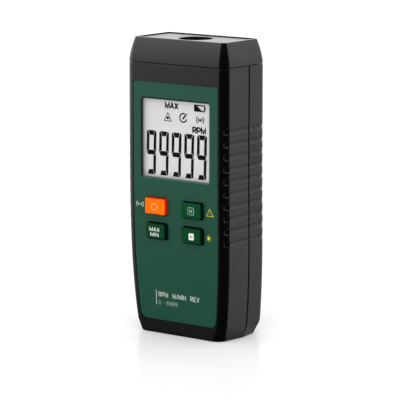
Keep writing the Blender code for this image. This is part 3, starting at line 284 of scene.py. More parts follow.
def addGrain(material, size, height, spread=0.0, patch=0.012):
    # noise as wide as one grain, in metres, for bump; slow noise moves the gloss over patches of a centimetre
    tree = material.node_tree
    shader = tree.nodes["Principled BSDF"]
    place = addNode(tree, "TexCoord", {}).outputs["Object"]
    grain = addNode(tree, "TexNoise", {"Vector": place, "Scale": 1 / size, "Detail": 1.0})
    bump = addNode(tree, "Bump", {"Height": grain.outputs["Fac"], "Distance": height, "Strength": 1.0})
    tree.links.new(bump.outputs["Normal"], shader.inputs["Normal"])
    if spread:
        slow = addNode(tree, "TexNoise", {"Vector": place, "Scale": 1 / patch, "Detail": 2.0})
        rough = shader.inputs["Roughness"].default_value
        gloss = addNode(tree, "MapRange", {"Value": slow.outputs["Fac"], "From Min": 0.3, "From Max": 0.7,
                                           "To Min": rough - spread, "To Max": rough + spread})
        tree.links.new(gloss.outputs["Result"], shader.inputs["Roughness"])
    return bump, place


def paintFlankShade(material, flankShade, start, end):
    # painted shade on a key's flanks: a darker colour mixed in straight from one depth of the case to another
    tree = material.node_tree
    shader = tree.nodes["Principled BSDF"]
    place = addNode(tree, "TexCoord", {}).outputs["Object"]
    depth = addNode(tree, "SeparateXYZ", {"Vector": place}).outputs["Y"]
    share = addNode(tree, "MapRange", {"Value": depth, "From Min": start, "From Max": end}).outputs["Result"]
    mixed = addNode(tree, "Mix", {0: share, 6: shader.inputs["Base Color"].default_value, 7: linear(flankShade)},
                    data_type="RGBA")
    tree.links.new(mixed.outputs[2], shader.inputs["Base Color"])


def addStipple(material, bump, place, plan):
    # dots as bump: the distance to the nearest cell's middle, upside down, in a zone whose edges fade
    tree = material.node_tree
    dots = addNode(tree, "TexVoronoi", {"Vector": place, "Scale": 1 / plan["pitch"], "Randomness": plan["scatter"]})
    where = addNode(tree, "SeparateXYZ", {"Vector": place}).outputs
    width = addNode(tree, "Math", {0: where["X"]}, operation="ABSOLUTE").outputs[0]
    zone = 1.0
    for value, limits in ((where["Z"], plan["above"]), (where["Z"], plan["below"]), (where["Y"], plan["behind"]),
                          (width, plan["beside"])):
        share = addNode(tree, "MapRange", {"Value": value, "From Min": limits[0], "From Max": limits[1]})
        zone = addNode(tree, "Math", {0: share.outputs["Result"], 1: zone}, operation="MULTIPLY").outputs[0]
    raised = addNode(tree, "Bump", {"Height": dots.outputs["Distance"], "Distance": plan["height"], "Strength": zone,
                                    "Normal": bump.outputs["Normal"]}, invert=True)
    tree.links.new(raised.outputs["Normal"], tree.nodes["Principled BSDF"].inputs["Normal"])


# Black ABS from an etched mould: near black, with a broad satin sheen that turns grey where it faces the room.
blackAbs = makeMaterial("blackAbs", "#070708", 0.24)
blackGrain = addGrain(blackAbs, 0.00022, 0.000004, 0.03)
# The stipple on the rear half of the grip. The real dots are finer; these are as coarse as it takes to show them.
stipplePlan = {"pitch": 0.0010, "height": 0.00032, "scatter": 0.35, "above": (0.051, 0.053), "below": (0.118, 0.116),
               "behind": (0.0030, 0.0036), "beside": (0.0302, 0.0316)}
addStipple(blackAbs, *blackGrain, stipplePlan)
# The sunk floor of the nose is polished and mirrors the room at a glance.
polishedAbs = makeMaterial("polishedAbs", "#0B0B0C", 0.30, Specular_IOR_Level=0.36)
# Printed polyester film on the face: deep green with a soft, even sheen.
greenFilm = makeMaterial("greenFilm", "#0E4936", 0.34, Specular_IOR_Level=0.34)
addGrain(greenFilm, 0.00016, 0.000003, 0.02)
paintedShadeRim = makeMaterial("paintedShadeRim", "#232B27", 0.5, Specular_IOR_Level=0.1)  # painted shade: a dark, matt colour laid on the display rim's upper and left flanks
# Silicone keys: a flat, slightly dusty surface with a deep colour; their flanks get painted shade, near black green
# and deep red.
greenKey = makeMaterial("greenSilicone", "#004424", 0.5, Specular_IOR_Level=0.06)
orangeKey = makeMaterial("orangeSilicone", "#FF6F03", 0.5, Specular_IOR_Level=0.04)
# painted shade: the second colour of each pair is the shade painted on that key's flanks
for silicone, flankShade in ((greenKey, "#031710"), (orangeKey, "#D81E06")):
    addGrain(silicone, 0.00018, 0.000004)
    paintFlankShade(silicone, flankShade, frontY - 0.0019, frontY - 0.0013)
# Clear acrylic over the display: only its gloss is seen.
clearWindow = makeMaterial("clearAcrylic", "#050606", 0.03, Alpha=0.06)
# The display's polariser over its reflector: a flat light grey.
displayGrey = makeMaterial("displayReflector", "#E8E8E6", 0.4, Specular_IOR_Level=0.15)
addGrain(displayGrey, 0.0002, 0.000002)
# Optics: a filter that lets red light through and looks black, and a clear polished lens.
darkFilter = makeMaterial("darkRedFilter", "#14060A", 0.05, Alpha=0.75)
lensGlass = makeMaterial("lensGlass", "#DCE6EB", 0.02, Transmission_Weight=0.9)
# Inside: milky white ABS, dull contact rubber, glossy solder mask over a weave, and gritty moulded resin.
whitePlastic = makeMaterial("whiteFramePlastic", "#DFE0DC", 0.5)
stripRubber = makeMaterial("pinkContactRubber", "#BE7878", 0.7)
solderMask = makeMaterial("greenSolderMask", "#185C34", 0.35)
addGrain(solderMask, 0.0012, 0.00001)
chipResin = makeMaterial("chipResin", "#19191B", 0.55)
addGrain(chipResin, 0.0002, 0.000006)
# Metals: dull bluish zinc plate, and turned brass whose gloss wanders a little.
zincSteel = makeMaterial("zincPlatedSteel", "#B9BABE", 0.32, 1.0)
addGrain(zincSteel, 0.0006, 0.000004, 0.06)
turnedBrass = makeMaterial("turnedBrass", "#CDA555", 0.28, 1.0)
addGrain(turnedBrass, 0.0005, 0.000004, 0.05)
# The battery's lacquered sleeve: dark and smooth, with a slight orange peel.
batterySleeve = makeMaterial("batterySleeve", "#282A30", 0.35)
addGrain(batterySleeve, 0.0008, 0.000004)
displayInk = makeMaterial("liquidCrystalInk", "#060607", 0.4, Specular_IOR_Level=0.1)  # flat, near black segments
# Screen-printed inks: opaque and matt, in five colours.
whitePrint = makeMaterial("whiteScreenPrint", "#E9ECE6", 0.55)
palePrint = makeMaterial("paleScreenPrint", "#9FB3A8", 0.55)
yellowPrint = makeMaterial("yellowScreenPrint", "#CFC832", 0.55)
peachPrint = makeMaterial("peachScreenPrint", "#FFB080", 0.55)
darkPrint = makeMaterial("darkScreenPrint", "#15302A", 0.55)
print("materials ready")


# The moulded skin of the case: its soft edges and how fine it is. A stretch is a first level, a last one and a step.
caseEdges = {"top": 0.00022, "seamDepth": 0.00030, "seamReach": 0.00040, "arcSteps": 30, "sideSteps": 13,
             "stretches": ((0.0085, 0.0505, 0.0015), (0.0515, 0.1162, 0.00026), (0.1180, 0.1460, 0.0030))}
# The grip scoops: how many, how far apart, their oval section, and how they deepen and end round the corners.
gripScoops = {"count": 10, "pitch": 0.00664, "top": 0.11355, "height": 0.0031, "sideDepth": 0.00029,
              "cornerDepth": 0.00070, "rearDepth": 0.00048, "sideFullness": 1.2, "cornerFullness": 0.5,
              "blend": 0.0015, "wrap": 50.0, "end": 0.00075}


def skinLevels():
    # close together at the rounded edges, at the foot and in the scoops
    edge = caseShape["baseEdge"] * (1 - np.cos(np.linspace(0, math.pi / 2, 6)))
    foot = np.concatenate([np.linspace(0.0012, 0.0058, 5), np.linspace(footTop - 0.001, footTop, 6)])
    top = caseTop - caseEdges["top"] * (1 - np.sin(np.linspace(0, math.pi / 2, 5)))
    return np.concatenate([edge, foot, *(np.arange(*stretch) for stretch in caseEdges["stretches"]), top])


def sinkAt(z, y, seam, bent):
    # A scoop is a power of one less the squares of its share of the height and of its way past the end. It turns
    # from the side's depth and fullness to the corner's with the way bent round. The seam's valley is a parabola.
    plan = gripScoops
    centre = plan["top"] - plan["pitch"] * np.clip(np.round((plan["top"] - z) / plan["pitch"]), 0, plan["count"] - 1)
    up = (z - centre) / (plan["height"] / 2)
    reach = caseShape["corner"] * math.radians(plan["wrap"]) - plan["end"]
    past = np.maximum(0.0, bent - reach) / plan["end"]
    crisp = np.clip(bent / plan["blend"], 0, 1)
    ends = np.where(y < seam, plan["cornerDepth"], plan["rearDepth"])
    deep = plan["sideDepth"] + (ends - plan["sideDepth"]) * crisp
    full = plan["sideFullness"] + (plan["cornerFullness"] - plan["sideFullness"]) * crisp
    gap = np.maximum(0.0, np.abs(y - seam) - caseShape["seamGap"] / 2)
    valley = caseEdges["seamDepth"] * np.maximum(0.0, 1 - gap / caseEdges["seamReach"]) ** 2
    return deep * np.maximum(0.0, 1 - up ** 2 - past ** 2) ** full + valley


def skinRings(z, inset, arcSteps, sideSteps, detailed):
    # right half from the front to the back: arc, side up to the seam, side behind it, arc; then its mirror image
    z = np.asarray(z, dtype=float)[:, None]
    share = footShare(z)
    drawnIn = inset + roundedEdge(z, caseShape["baseEdge"])
    if detailed:
        drawnIn = drawnIn + roundedEdge(caseTop - z, caseEdges["top"])
    half, near, far, seam = halfWidthAt(z) - drawnIn, frontAt(z) + drawnIn, backAt(z) - drawnIn, seamAt(z)
    radius = np.maximum(caseShape["corner"] + (caseShape["footCorner"] - caseShape["corner"]) * share - drawnIn,
                        0.0006)
    ridge = caseShape["footRidge"] * share
    turn = np.linspace(0, math.pi / 2, arcSteps + 1)[None, :]
    away = np.linspace(0, 1, sideSteps + 1)[None, 1:-1] ** 2
    across = [half - radius + radius * np.sin(turn), half + ridge * (1 - away[:, ::-1]), half + ridge,
              half + ridge * (1 - away), half - radius + radius * np.cos(turn)]
    along = [near + radius - radius * np.cos(turn), seam - (seam - near - radius) * away[:, ::-1], seam,
             seam + (far - radius - seam) * away, far - radius + radius * np.sin(turn)]
    side = np.zeros_like(away)
    outX = np.concatenate([np.sin(turn), 1 + side, [[1.0]], 1 + side, np.cos(turn)], 1)
    outY = np.concatenate([-np.cos(turn), side, [[0.0]], side, np.sin(turn)], 1)
    x, y = np.concatenate(across, 1), np.concatenate([part + 0 * z for part in along], 1)
    if detailed:
        bent = np.concatenate([math.pi / 2 - turn, side, [[0.0]], side, turn], 1) * caseShape["corner"]
        sink = sinkAt(z, y, seam, bent)
        x, y = x - outX * sink, y - outY * sink
    x, y = np.concatenate([x, -x[:, ::-1]], 1), np.concatenate([y, y[:, ::-1]], 1)
    return np.stack([x, y, z + 0 * x], -1)


def caseBody(name):
    # the skin, less the same form drawn in by one wall
    body = makeMesh(name, skinRings(skinLevels(), 0.0, caseEdges["arcSteps"], caseEdges["sideSteps"], True))
    wall = caseShape["wall"]
    inside = np.concatenate([[wall], np.arange(0.004, caseTop, 0.008), [caseTop + wall]])
    cutAway(body, makeMesh("inside", skinRings(inside, wall, 3, 3, False)))
    return body


alongCase = np.concatenate([[-0.002], np.linspace(0, footTop, 8), np.arange(0.009, 0.101, 0.003),
                            [outside["above"]]])

# Openings in the front: the display's, the keys', and the shallow pocket that the green panel lies in.
facePlan = {
    "border": 0.0050, "top": 0.13710, "bottom": 0.0076, "topRadius": 0.0014, "bottomRadius": 0.0034,
    "inset": 0.0001, "thickness": 0.0005, "gap": 0.00035, "pocket": 0.00085, "rebate": 0.00165,
    "displayHalfWidth": 0.0232, "displayHalfHeight": 0.02195, "displayCentre": 0.10695, "displayCorner": 0.0014,
    "windowMargin": 0.0015, "keyGap": 0.0004, "keyCorner": 0.0013, "rimWidth": 0.0008, "rimDepth": 0.00045,
}
# Each key: its middle across and up, its width and its height.
keyPlaces = {
    "power": (-0.0123, 0.0703, 0.0140, 0.0090), "memory": (0.01175, 0.0703, 0.0136, 0.0088),
    "max_min": (-0.0123, 0.0567, 0.0136, 0.0088), "hold": (0.01175, 0.0567, 0.0136, 0.0088),
}
# Screws that hold the halves together, and the posts, bores and wells of these and of the board's screws.
screwPlan = {
    "case": ((-0.0250, 0.1416), (0.0250, 0.1416), (-0.0243, 0.0304), (0.0243, 0.0304)),
    "post": 0.0030, "bore": 0.0015, "well": 0.00265, "seat": 0.00305, "boardPost": 0.0022, "boardBore": 0.00125,
    "postStart": 0.0016, "boreStart": 0.0027,
}


def panelOutline(grow, steps=10):
    # keeps the border from the side of the case all the way down; quarter circles at the ends
    top, bottom = facePlan["top"] + grow, facePlan["bottom"] - grow
    big, small = facePlan["bottomRadius"], facePlan["topRadius"]
    turn = np.linspace(0, math.pi / 2, steps + 1)
    z = np.concatenate([bottom + big - big * np.cos(turn), np.arange(bottom + big + 0.003, top - small, 0.004),
                        top - small + small * np.sin(turn)])
    drawnIn = np.concatenate([big * (1 - np.sin(turn)), np.zeros(len(z) - 2 * len(turn)),
                              small * (1 - np.cos(turn))])
    x = halfWidthAt(np.maximum(z, footTop)) - facePlan["border"] + grow - drawnIn
    return np.concatenate([np.stack([x, z], 1), np.stack([-x, z], 1)[::-1]])


def panelSlab(name, grow, near, far):
    # a slab between two depths behind the front, limited to the panel's outline
    slab = blockAcross(name, outside["beside"], np.concatenate([[0.0], alongCase[9:]]),
                       lambda z: frontAt(z) + near, lambda z: frontAt(z) + far)
    shapeWith(slab, prism("outline", panelOutline(grow), (frontY - 0.003, frontY + 0.006), "y"), "INTERSECT")
    return slab


def displayPrism(name, levels):
    # the display's outline at several levels, which are pairs of a depth and how much it grows there
    centre = (0.0, facePlan["displayCentre"])
    return makeMesh(name, np.stack([ringPoints(roundRect(
        facePlan["displayHalfWidth"] + grow, facePlan["displayHalfHeight"] + grow,
        max(0.0004, facePlan["displayCorner"] + grow), 6, centre), depth, "y") for depth, grow in levels]))


def keyHoles(name):
    # a round rectangle through the front for each key, larger than the key by its gap
    gap = facePlan["keyGap"]
    return mergePieces(name, [prism(
        name, roundRect(width / 2 + gap, height / 2 + gap, facePlan["keyCorner"] + gap, 6, (x, z)),
        (frontY - 0.003, frontY + 0.008), "y") for x, z, width, height in keyPlaces.values()])


def buildFrontShell():
    # the skin in front of the seam, joined with the screw posts, less their bores, the panel's pocket and openings
    plan, half = screwPlan, caseShape["seamGap"] / 2
    shell = caseBody("frontShell")
    cutAway(shell, blockAcross("rearHalf", outside["beside"], alongCase, lambda z: seamAt(z) - half,
                               lambda z: outside["behind"]))
    spots = [(x, z, seamAt(z) - half, plan["post"], plan["bore"], 0.01) for x, z in plan["case"]]
    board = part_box("main_board")[0][1] - caseShape["fit"]
    for number in range(1, 5):
        low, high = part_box("board_screw_" + str(number))
        spots.append(((low[0] + high[0]) / 2, (low[2] + high[2]) / 2, board, plan["boardPost"], plan["boardBore"],
                      0.001))
    posts, bores = [], []
    for x, z, end, radius, bore, beyond in spots:
        start = frontAt(z)
        posts.append(turned("post", [(radius, start + plan["postStart"]), (radius, end)], (x, z), "y", 20))
        bores.append(turned("bore", [(bore, start + plan["boreStart"]), (bore, end + beyond)], (x, z), "y", 20))
    shapeWith(shell, mergePieces("posts", posts), "UNION")
    margin = facePlan["windowMargin"] + caseShape["fit"]
    cutAway(shell, mergePieces("bores", bores), panelSlab("pocket", facePlan["gap"], -0.002, facePlan["pocket"]),
            displayPrism("rebate", [(frontY - 0.003, margin), (frontY + facePlan["rebate"], margin)]),
            displayPrism("opening", [(frontY, 0.0), (frontY + 0.0045, 0.0)]), keyHoles("keyHoles"))
    return dress(smoothFaces(shell), blackAbs, "case", "black_plastic", "front_case")


# What keeps light out of the seam: a lip on each side wall, and a tongue in the foot.
lipPlan = {"thick": 0.0007, "reach": 0.0010, "low": 0.0082, "high": 0.1440, "tongueThick": 0.00028,
           "tongueInset": 0.0009, "tongueLow": 0.0008}


def buildSeamLip():
    # a thin lip inside each side wall, which the seam closes on, and a tongue in the gap of the foot
    plan = lipPlan
    z = np.append(np.arange(plan["low"], plan["high"], 0.004), plan["high"])
    outer, middle, reach = halfWidthAt(z) - caseShape["wall"], seamAt(z), plan["reach"]
    inner = outer - plan["thick"]
    lips = [uprightBar("lip", z, side * inner, side * outer, middle - reach, middle + reach) for side in (-1, 1)]
    z = np.linspace(plan["tongueLow"], plan["low"], 24)
    wide = halfWidthAt(z) + caseShape["footRidge"] * footShare(z) - plan["tongueInset"]
    middle, thin = seamAt(z), plan["tongueThick"] / 2
    lips.append(uprightBar("tongue", z, -wide, wide, middle - thin, middle + thin))
    dress(mergePieces("seamLip", lips), blackAbs, "case", "black_plastic")


frontShell = buildFrontShell()
buildSeamLip()
print("front shell and seam lip", len(frontShell.data.polygons))

# The rear half: battery bay, doorway, hinge room, tripod boss and the optics' saddle.
rearPlan = {
    "doorHalf": 0.01525, "doorLow": 0.01225, "doorHigh": 0.06775, "doorGap": 0.00025, "hingeRadius": 0.0013,
    "pinRadius": 0.0007, "rim": 0.0022, "batteryHalf": 0.01325, "batteryDepth": 0.0175, "batteryLow": 0.0150,
    "bayGap": 0.00035, "bayFloor": 0.0012, "thumbRadius": 0.0062, "thumbDepth": 0.0011, "thumbLength": 0.014,
    "insertZ": 0.1004, "insertRadius": 0.0045, "insertLength": 0.0080, "insertSink": 0.0001, "bossWall": 0.0023,
    "saddleIn": 0.0027, "saddleHalf": 0.0008, "saddleReach": 0.0028, "saddleFoot": 0.0030, "saddleTop": 0.0042,
    "root": 0.7,
}


def buildRearShell():
    # the skin behind the seam, joined with the bay's walls, the boss, the screw tubes and the saddles, which root in
    # the wall; less the bay, the doorway, the hinge's room, the thumb notch, the socket and the screw wells
    plan, fit, behind = rearPlan, caseShape["fit"], outside["behind"]
    shell = caseBody("rearShell")
    half, wall, root = caseShape["seamGap"] / 2, caseShape["wall"], caseShape["wall"] * plan["root"]
    cutAway(shell, blockAcross("frontHalf", outside["beside"], alongCase, lambda z: -behind,
                               lambda z: seamAt(z) + half))
    bayBack = backAt(plan["doorHigh"]) - wall - plan["bayGap"]
    bayFront = bayBack - plan["batteryDepth"] - plan["bayGap"]
    reach = plan["doorGap"] + plan["rim"]
    bayLevels = np.linspace(plan["doorLow"] - reach, plan["doorHigh"] + reach, 16)
    shapeWith(shell, blockAcross("bay", plan["doorHalf"] + reach, bayLevels, lambda z: bayFront - plan["bayFloor"],
                                 lambda z: backAt(z) - root), "UNION")
    rear, socketAt = backAt(plan["insertZ"]), (0.0, plan["insertZ"])
    bossFront = rear - plan["insertSink"] - plan["insertLength"] - fit - plan["bayFloor"]
    socket = plan["insertRadius"] + fit
    bossRadius = socket + plan["bossWall"]
    parts = [turned("boss", [(bossRadius, bossFront), (bossRadius, rear - root)], socketAt, "y")]
    for x, z in screwPlan["case"]:
        ends = (seamAt(z) + half, backAt(z) - root)
        parts.append(turned("tube", [(screwPlan["post"], level) for level in ends], (x, z), "y", 24))
    blockLow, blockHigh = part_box("optics_block")
    base, back, top = blockLow[2] - fit, blockHigh[1], caseTop - plan["saddleTop"]
    inner, foot = back - plan["saddleReach"], base - plan["saddleFoot"]
    outline = [(inner, foot), (rear - root, foot), (rear - root, top), (back + fit, top), (back + fit, base),
               (inner, base)]
    for side in (-1, 1):
        middle = side * (blockHigh[0] - plan["saddleIn"])
        parts.append(prism("saddle", outline, (middle - plan["saddleHalf"], middle + plan["saddleHalf"]), "x"))
    shapeWith(shell, mergePieces("parts", parts), "UNION")

    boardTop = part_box("contact_board")[1][2] + plan["bayGap"]
    batteryHalf, gap = plan["batteryHalf"] + plan["bayGap"], plan["doorGap"]
    cutAway(shell, blockAcross("bayInside", batteryHalf, (plan["batteryLow"] - plan["bayGap"], boardTop),
                               lambda z: bayFront, lambda z: behind))
    doorLevels = np.linspace(plan["doorLow"] - gap, plan["doorHigh"] + gap, 16)
    cutAway(shell, blockAcross("doorway", plan["doorHalf"] + gap, doorLevels, lambda z: backAt(z) - wall - gap,
                               lambda z: behind))
    hingeZ = plan["doorLow"] + plan["hingeRadius"]
    hinge = (backAt(hingeZ) - plan["hingeRadius"], hingeZ)
    room, reach = plan["hingeRadius"] + gap, plan["doorHalf"] + gap
    pins = reach + 0.001
    cutAway(shell, turned("hingeRoom", [(room, -reach), (room, reach)], hinge, "x", 32),
            turned("pinHoles", [(plan["pinRadius"], -pins), (plan["pinRadius"], pins)], hinge, "x", 20))
    thumbZ, thumb, half = plan["doorHigh"] + gap, plan["thumbRadius"], plan["thumbLength"] / 2
    thumbAt = (backAt(thumbZ) - plan["thumbDepth"] + thumb, thumbZ + plan["thumbDepth"])
    cutAway(shell, turned("thumb", [(thumb, -half), (thumb, half)], thumbAt, "x", 96))
    tools = [turned("socket", [(socket, bossFront + plan["bayFloor"]), (socket, behind)], socketAt, "y")]
    bore, well = screwPlan["bore"], screwPlan["well"]
    for x, z in screwPlan["case"]:
        seat = backAt(z) - screwPlan["seat"]
        tools.append(turned("well", [(bore, 0.0), (bore, seat), (well, seat), (well, behind)], (x, z), "y", 32))
    cutAway(shell, mergePieces("wells", tools))
    return dress(smoothFaces(shell), blackAbs, "case", "black_plastic", "rear_case")


rearShell = buildRearShell()
print("rear shell", len(rearShell.data.polygons))

# The nose cap: how far it leans in, its rim, and the sunk floor with the round aperture.
nosePlan = {
    "power": 1.6, "insetWidth": 0.0029, "insetDepth": 0.0032, "corner": 0.0022, "rim": 0.0012, "recess": 0.0006,
    "floor": 0.0020, "wall": 0.0022, "spigotLength": 0.0021, "spigotWall": 0.0012, "spigotRoot": 0.0026,
    "aperture": 0.00935, "collarWall": 0.0018, "edge": 0.0003, "innerEdge": 0.00015, "flare": 0.0003,
    "collarLow": 0.1507, "apertureLow": 0.148,
}


def capRings(levels, insets, arcSteps):
    # a round rectangle at each level, which leans in with a power of the height and is drawn in by its inset
    z, inset = np.array(levels, dtype=float)[:, None], np.array(insets, dtype=float)[:, None]
    lean = np.clip((z - capBottom) / (caseShape["height"] - capBottom), 0, None) ** nosePlan["power"]
    halfX = caseShape["halfWidth"] - nosePlan["insetWidth"] * lean - inset
    halfY = caseShape["depth"] / 2 - nosePlan["insetDepth"] * lean - inset
    radius = np.maximum(caseShape["corner"] + (nosePlan["corner"] - caseShape["corner"]) * lean - inset, 0.0006)
    flat = roundRect(halfX, halfY, radius, arcSteps, (0.0, middleY))
    return np.concatenate([flat, np.broadcast_to(z[:, :, None], flat.shape[:2] + (1,))], -1)


def buildNoseCap():
    # the leaning form with its sunk floor and quarter-round edges, joined with the spigot and the collar, less the
    # hollow and the round aperture, which flares at the floor
    plan, top, centre = nosePlan, caseShape["height"], (0.0, middleY)
    floorTop = top - plan["recess"]
    turn = np.linspace(0, math.pi / 2, 7)
    rising, falling = 1 - np.cos(turn), 1 - np.sin(turn)
    edge, inner, low, rim = plan["edge"], plan["innerEdge"], caseEdges["top"], plan["rim"]
    z = np.concatenate([capBottom + low * rising, np.linspace(capBottom + 0.0006, top - edge, 22)[:-1],
                        top - edge * falling, top - inner * rising, floorTop + inner * falling])
    inset = np.concatenate([low * falling, np.zeros(21), edge * rising, rim - inner * falling, rim + inner * rising])
    cap = makeMesh("noseCap", capRings(z, inset, 12))
    inset, low = caseShape["wall"] + caseShape["fit"], caseTop - plan["spigotLength"]
    root, levels = capBottom + plan["spigotRoot"], (low, capBottom + plan["spigotRoot"] / 2)
    shapeWith(cap, makeMesh("spigot", capRings(levels, (inset, inset), 4)), "UNION")
    narrow, wall = inset + plan["spigotWall"], plan["wall"]
    cutAway(cap, makeMesh("hollow", capRings((low - wall, root, root + narrow - wall, floorTop - plan["floor"]),
                                             (narrow, narrow, wall, wall), 4)))
    radius, flare, collar = plan["aperture"], plan["flare"], plan["aperture"] + plan["collarWall"]
    tube = turned("collar", [(collar, plan["collarLow"]), (collar, floorTop - 0.001)], centre, "z", 64)
    shapeWith(cap, tube, "UNION")
    cutAway(cap, turned("aperture", [(radius, plan["apertureLow"]), (radius, floorTop - flare),
                                     (radius + 2 * flare, floorTop + flare), (radius + 2 * flare, outside["above"])],
                        centre, "z", 96))
    dress(smoothFaces(cap), blackAbs, "case", "black_plastic", "top_cap")
    normals, middles = facesOf(cap)
    paintFaces(cap, polishedAbs, (normals[:, 2] > 0.99) & (np.abs(middles[:, 2] - floorTop) < 0.0001))
    return cap


noseCap = buildNoseCap()
print("nose cap", len(noseCap.data.polygons))


def buildFacePanel():
    # a slab of the panel's outline, less the display's opening, which narrows with the depth, and the keys' openings
    near, far = facePlan["inset"], facePlan["inset"] + facePlan["thickness"]
    panel = panelSlab("facePanel", 0.0, near, far)
    slope = facePlan["rimWidth"] / facePlan["rimDepth"]
    chamfer = [(frontY + depth, slope * (near - depth)) for depth in (-0.0006, 0.0009)]
    cutAway(panel, displayPrism("chamfer", chamfer), keyHoles("keyHoles"))
    dress(smoothFaces(panel, 20, False), greenFilm, "case", "green_panel", "face_panel")
    x, y, z = facesOf(panel)[0].T
    # painted shade: the chamfer faces that face right or down, on the opening's left and upper sides, get the dark
    # rim colour
    paintFaces(panel, paintedShadeRim, (y > -0.95) & (y < -0.3) & ((x > 0.2) | (z < -0.2)))
    return panel


facePanel = buildFacePanel()
print("face panel", len(facePanel.data.polygons))

# The keys: their rounded shoulder, draft and lip, the slight dome of the face, and where they end inside.
keyPlan = {"shoulder": 0.0009, "draft": 0.0002, "lip": 0.0009, "dome": 0.0001, "clear": 0.00004, "back": 0.0039}


def keyFace(name):
    # the depth of the domed face: the square of the share of the way from its middle to its edge
    x0, z0, width, height = keyPlaces[name]
    front = frontAt(z0) - caseShape["keyProud"] + keyPlan["clear"]
    flatX, flatZ = width / 2 - keyPlan["shoulder"], height / 2 - keyPlan["shoulder"]
    return lambda x, z: front + keyPlan["dome"] * np.clip(
        np.maximum(np.abs(x - x0) / flatX, np.abs(z - z0) / flatZ), 0, 1) ** 2


def buildKey(name, material, slotName):
    # round rectangles from the middle of the domed face, over a quarter-round shoulder, to the lip behind the wall
    plan, (x0, z0, width, height) = keyPlan, keyPlaces[name]
    wallFront = frontAt(z0)
    front = wallFront - caseShape["keyProud"] + plan["clear"]
    lipFront = frontAt(z0 - height / 2 - plan["lip"]) + caseShape["wall"] + caseShape["fit"]
    turn = np.linspace(0, math.pi / 2, 9)
    depth = np.append(front + plan["dome"] + plan["shoulder"] * (1 - np.cos(turn)),
                      [wallFront, lipFront, lipFront, frontY + plan["back"]])
    grow = np.append(-plan["draft"] - plan["shoulder"] * (1 - np.sin(turn)), [0.0, 0.0, plan["lip"], plan["lip"]])
    outlines = [roundRect(width / 2 + g, height / 2 + g, max(facePlan["keyCorner"] + g, 0.0005), 8) for g in grow]
    rings = [ringPoints(outlines[0] * share, front + plan["dome"] * share ** 2, "y")
             for share in np.linspace(0.06, 0.94, 12)]
    rings += [ringPoints(outline, level, "y") for outline, level in zip(outlines, depth)]
    key = makeMesh(name + "Key", np.stack(rings) + np.array([x0, 0.0, z0]))
    dress(smoothFaces(key), material, "key_" + name + "_body", slotName, "key_" + name)


for name in keyPlaces:
    isPower = name == "power"
    buildKey(name, orangeKey if isPower else greenKey, "orange_key" if isPower else "green_key")
print("keys ready")


# Print and display segments: thin raised shapes laid on a face, which is a function of x and z

def layOutline(outline, face, lift):
    # the outline on the face, and again one lift in front of it
    outline = np.asarray(outline, dtype=float)
    x, z = outline[:, 0], outline[:, 1]
    y = face(x, z) + 0 * x
    return makeMesh("field", np.stack([np.stack([x, y - lift, z], 1), np.stack([x, y, z], 1)]))


def layStroke(points, width, face, lift, closed=False):
    # a line of one width along points; the ends are square and the corners are mitred
    points = np.asarray(points, dtype=float)
    ahead = np.roll(points, -1, 0) - points if closed else np.concatenate([np.diff(points, axis=0),
                                                                          points[-1:] - points[-2:-1]])
    ahead = ahead / np.linalg.norm(ahead, axis=1, keepdims=True)
    behind = np.roll(ahead, 1, 0) if closed else np.concatenate([ahead[:1], ahead[:-1]])
    along = ahead + behind
    along = along / np.linalg.norm(along, axis=1, keepdims=True)
    half = width / 2 / np.maximum(0.4, (along * ahead).sum(1, keepdims=True))
    out = np.stack([-along[:, 1], along[:, 0]], 1) * half
    corners = []
    for side, raised in ((1, 1), (-1, 1), (-1, 0), (1, 0)):
        x, z = (points + side * out).T
        corners.append(np.stack([x, face(x, z) + 0 * x - raised * lift, z], 1))
    return makeMesh("stroke", np.stack(corners, 1), pathClosed=closed)


# Plain letters as lines in a unit square, with the narrow ones' widths.
letterLines = {
    "M": [[(0, 0), (0, 1), (0.5, 0.12), (1, 1), (1, 0)]], "I": [[(0, 0), (0, 1)]],
    "A": [[(0, 0), (0.5, 1), (1, 0)], [(0.2, 0.33), (0.8, 0.33)]], "X": [[(0, 0), (1, 1)], [(0, 1), (1, 0)]],
    "N": [[(0, 0), (0, 1), (1, 0), (1, 1)]], "H": [[(0, 0), (0, 1)], [(1, 0), (1, 1)], [(0, 0.5), (1, 0.5)]],
    "R": [[(0, 0), (0, 1), (0.7, 1), (1, 0.85), (1, 0.62), (0.7, 0.47), (0, 0.47)], [(0.5, 0.47), (1, 0)]],
    "P": [[(0, 0), (0, 1), (0.7, 1), (1, 0.85), (1, 0.58), (0.7, 0.42), (0, 0.42)]],
    "E": [[(1, 1), (0, 1), (0, 0), (1, 0)], [(0, 0.5), (0.8, 0.5)]], "V": [[(0, 1), (0.5, 0), (1, 1)]],
    "0": [[(0.3, 0), (0, 0.25), (0, 0.75), (0.3, 1), (0.7, 1), (1, 0.75), (1, 0.25), (0.7, 0), (0.3, 0)]],
    "9": [[(0.1, 0), (0.7, 0), (1, 0.3), (1, 0.75), (0.7, 1), (0.3, 1), (0, 0.8), (0, 0.6), (0.3, 0.42), (1, 0.42)]],
    "-": [[(0, 0.5), (1, 0.5)]], "/": [[(0, 0), (1, 1)]], " ": [],
}
letterWidths = {"M": 1.25, "I": 0.12, "-": 0.7, "/": 0.6, " ": 0.5}


def layWords(words, span, line, face, lift, gap=0.42):
    # letters of one line width fitted into a span of x and z
    widths = [letterWidths.get(letter, 1.0) for letter in words]
    unit = (span[1] - span[0] - line) / (sum(widths) + gap * (len(words) - 1))
    parts, place = [], span[0] + line / 2
    for letter, width in zip(words, widths):
        for points in letterLines[letter]:
            spot = np.array(points, dtype=float) * (unit * width, span[3] - span[2] - line)
            parts.append(layStroke(spot + (place, span[2] + line / 2), line, face, lift))
        place += unit * (width + gap)
    return parts


def arcPoints(centre, radius, start, end, steps=20):
    # points at equal steps round a centre, from one angle in degrees to another
    angle = np.radians(np.linspace(start, end, steps + 1))
    return np.stack([centre[0] + radius * np.cos(angle), centre[1] + radius * np.sin(angle)], 1)


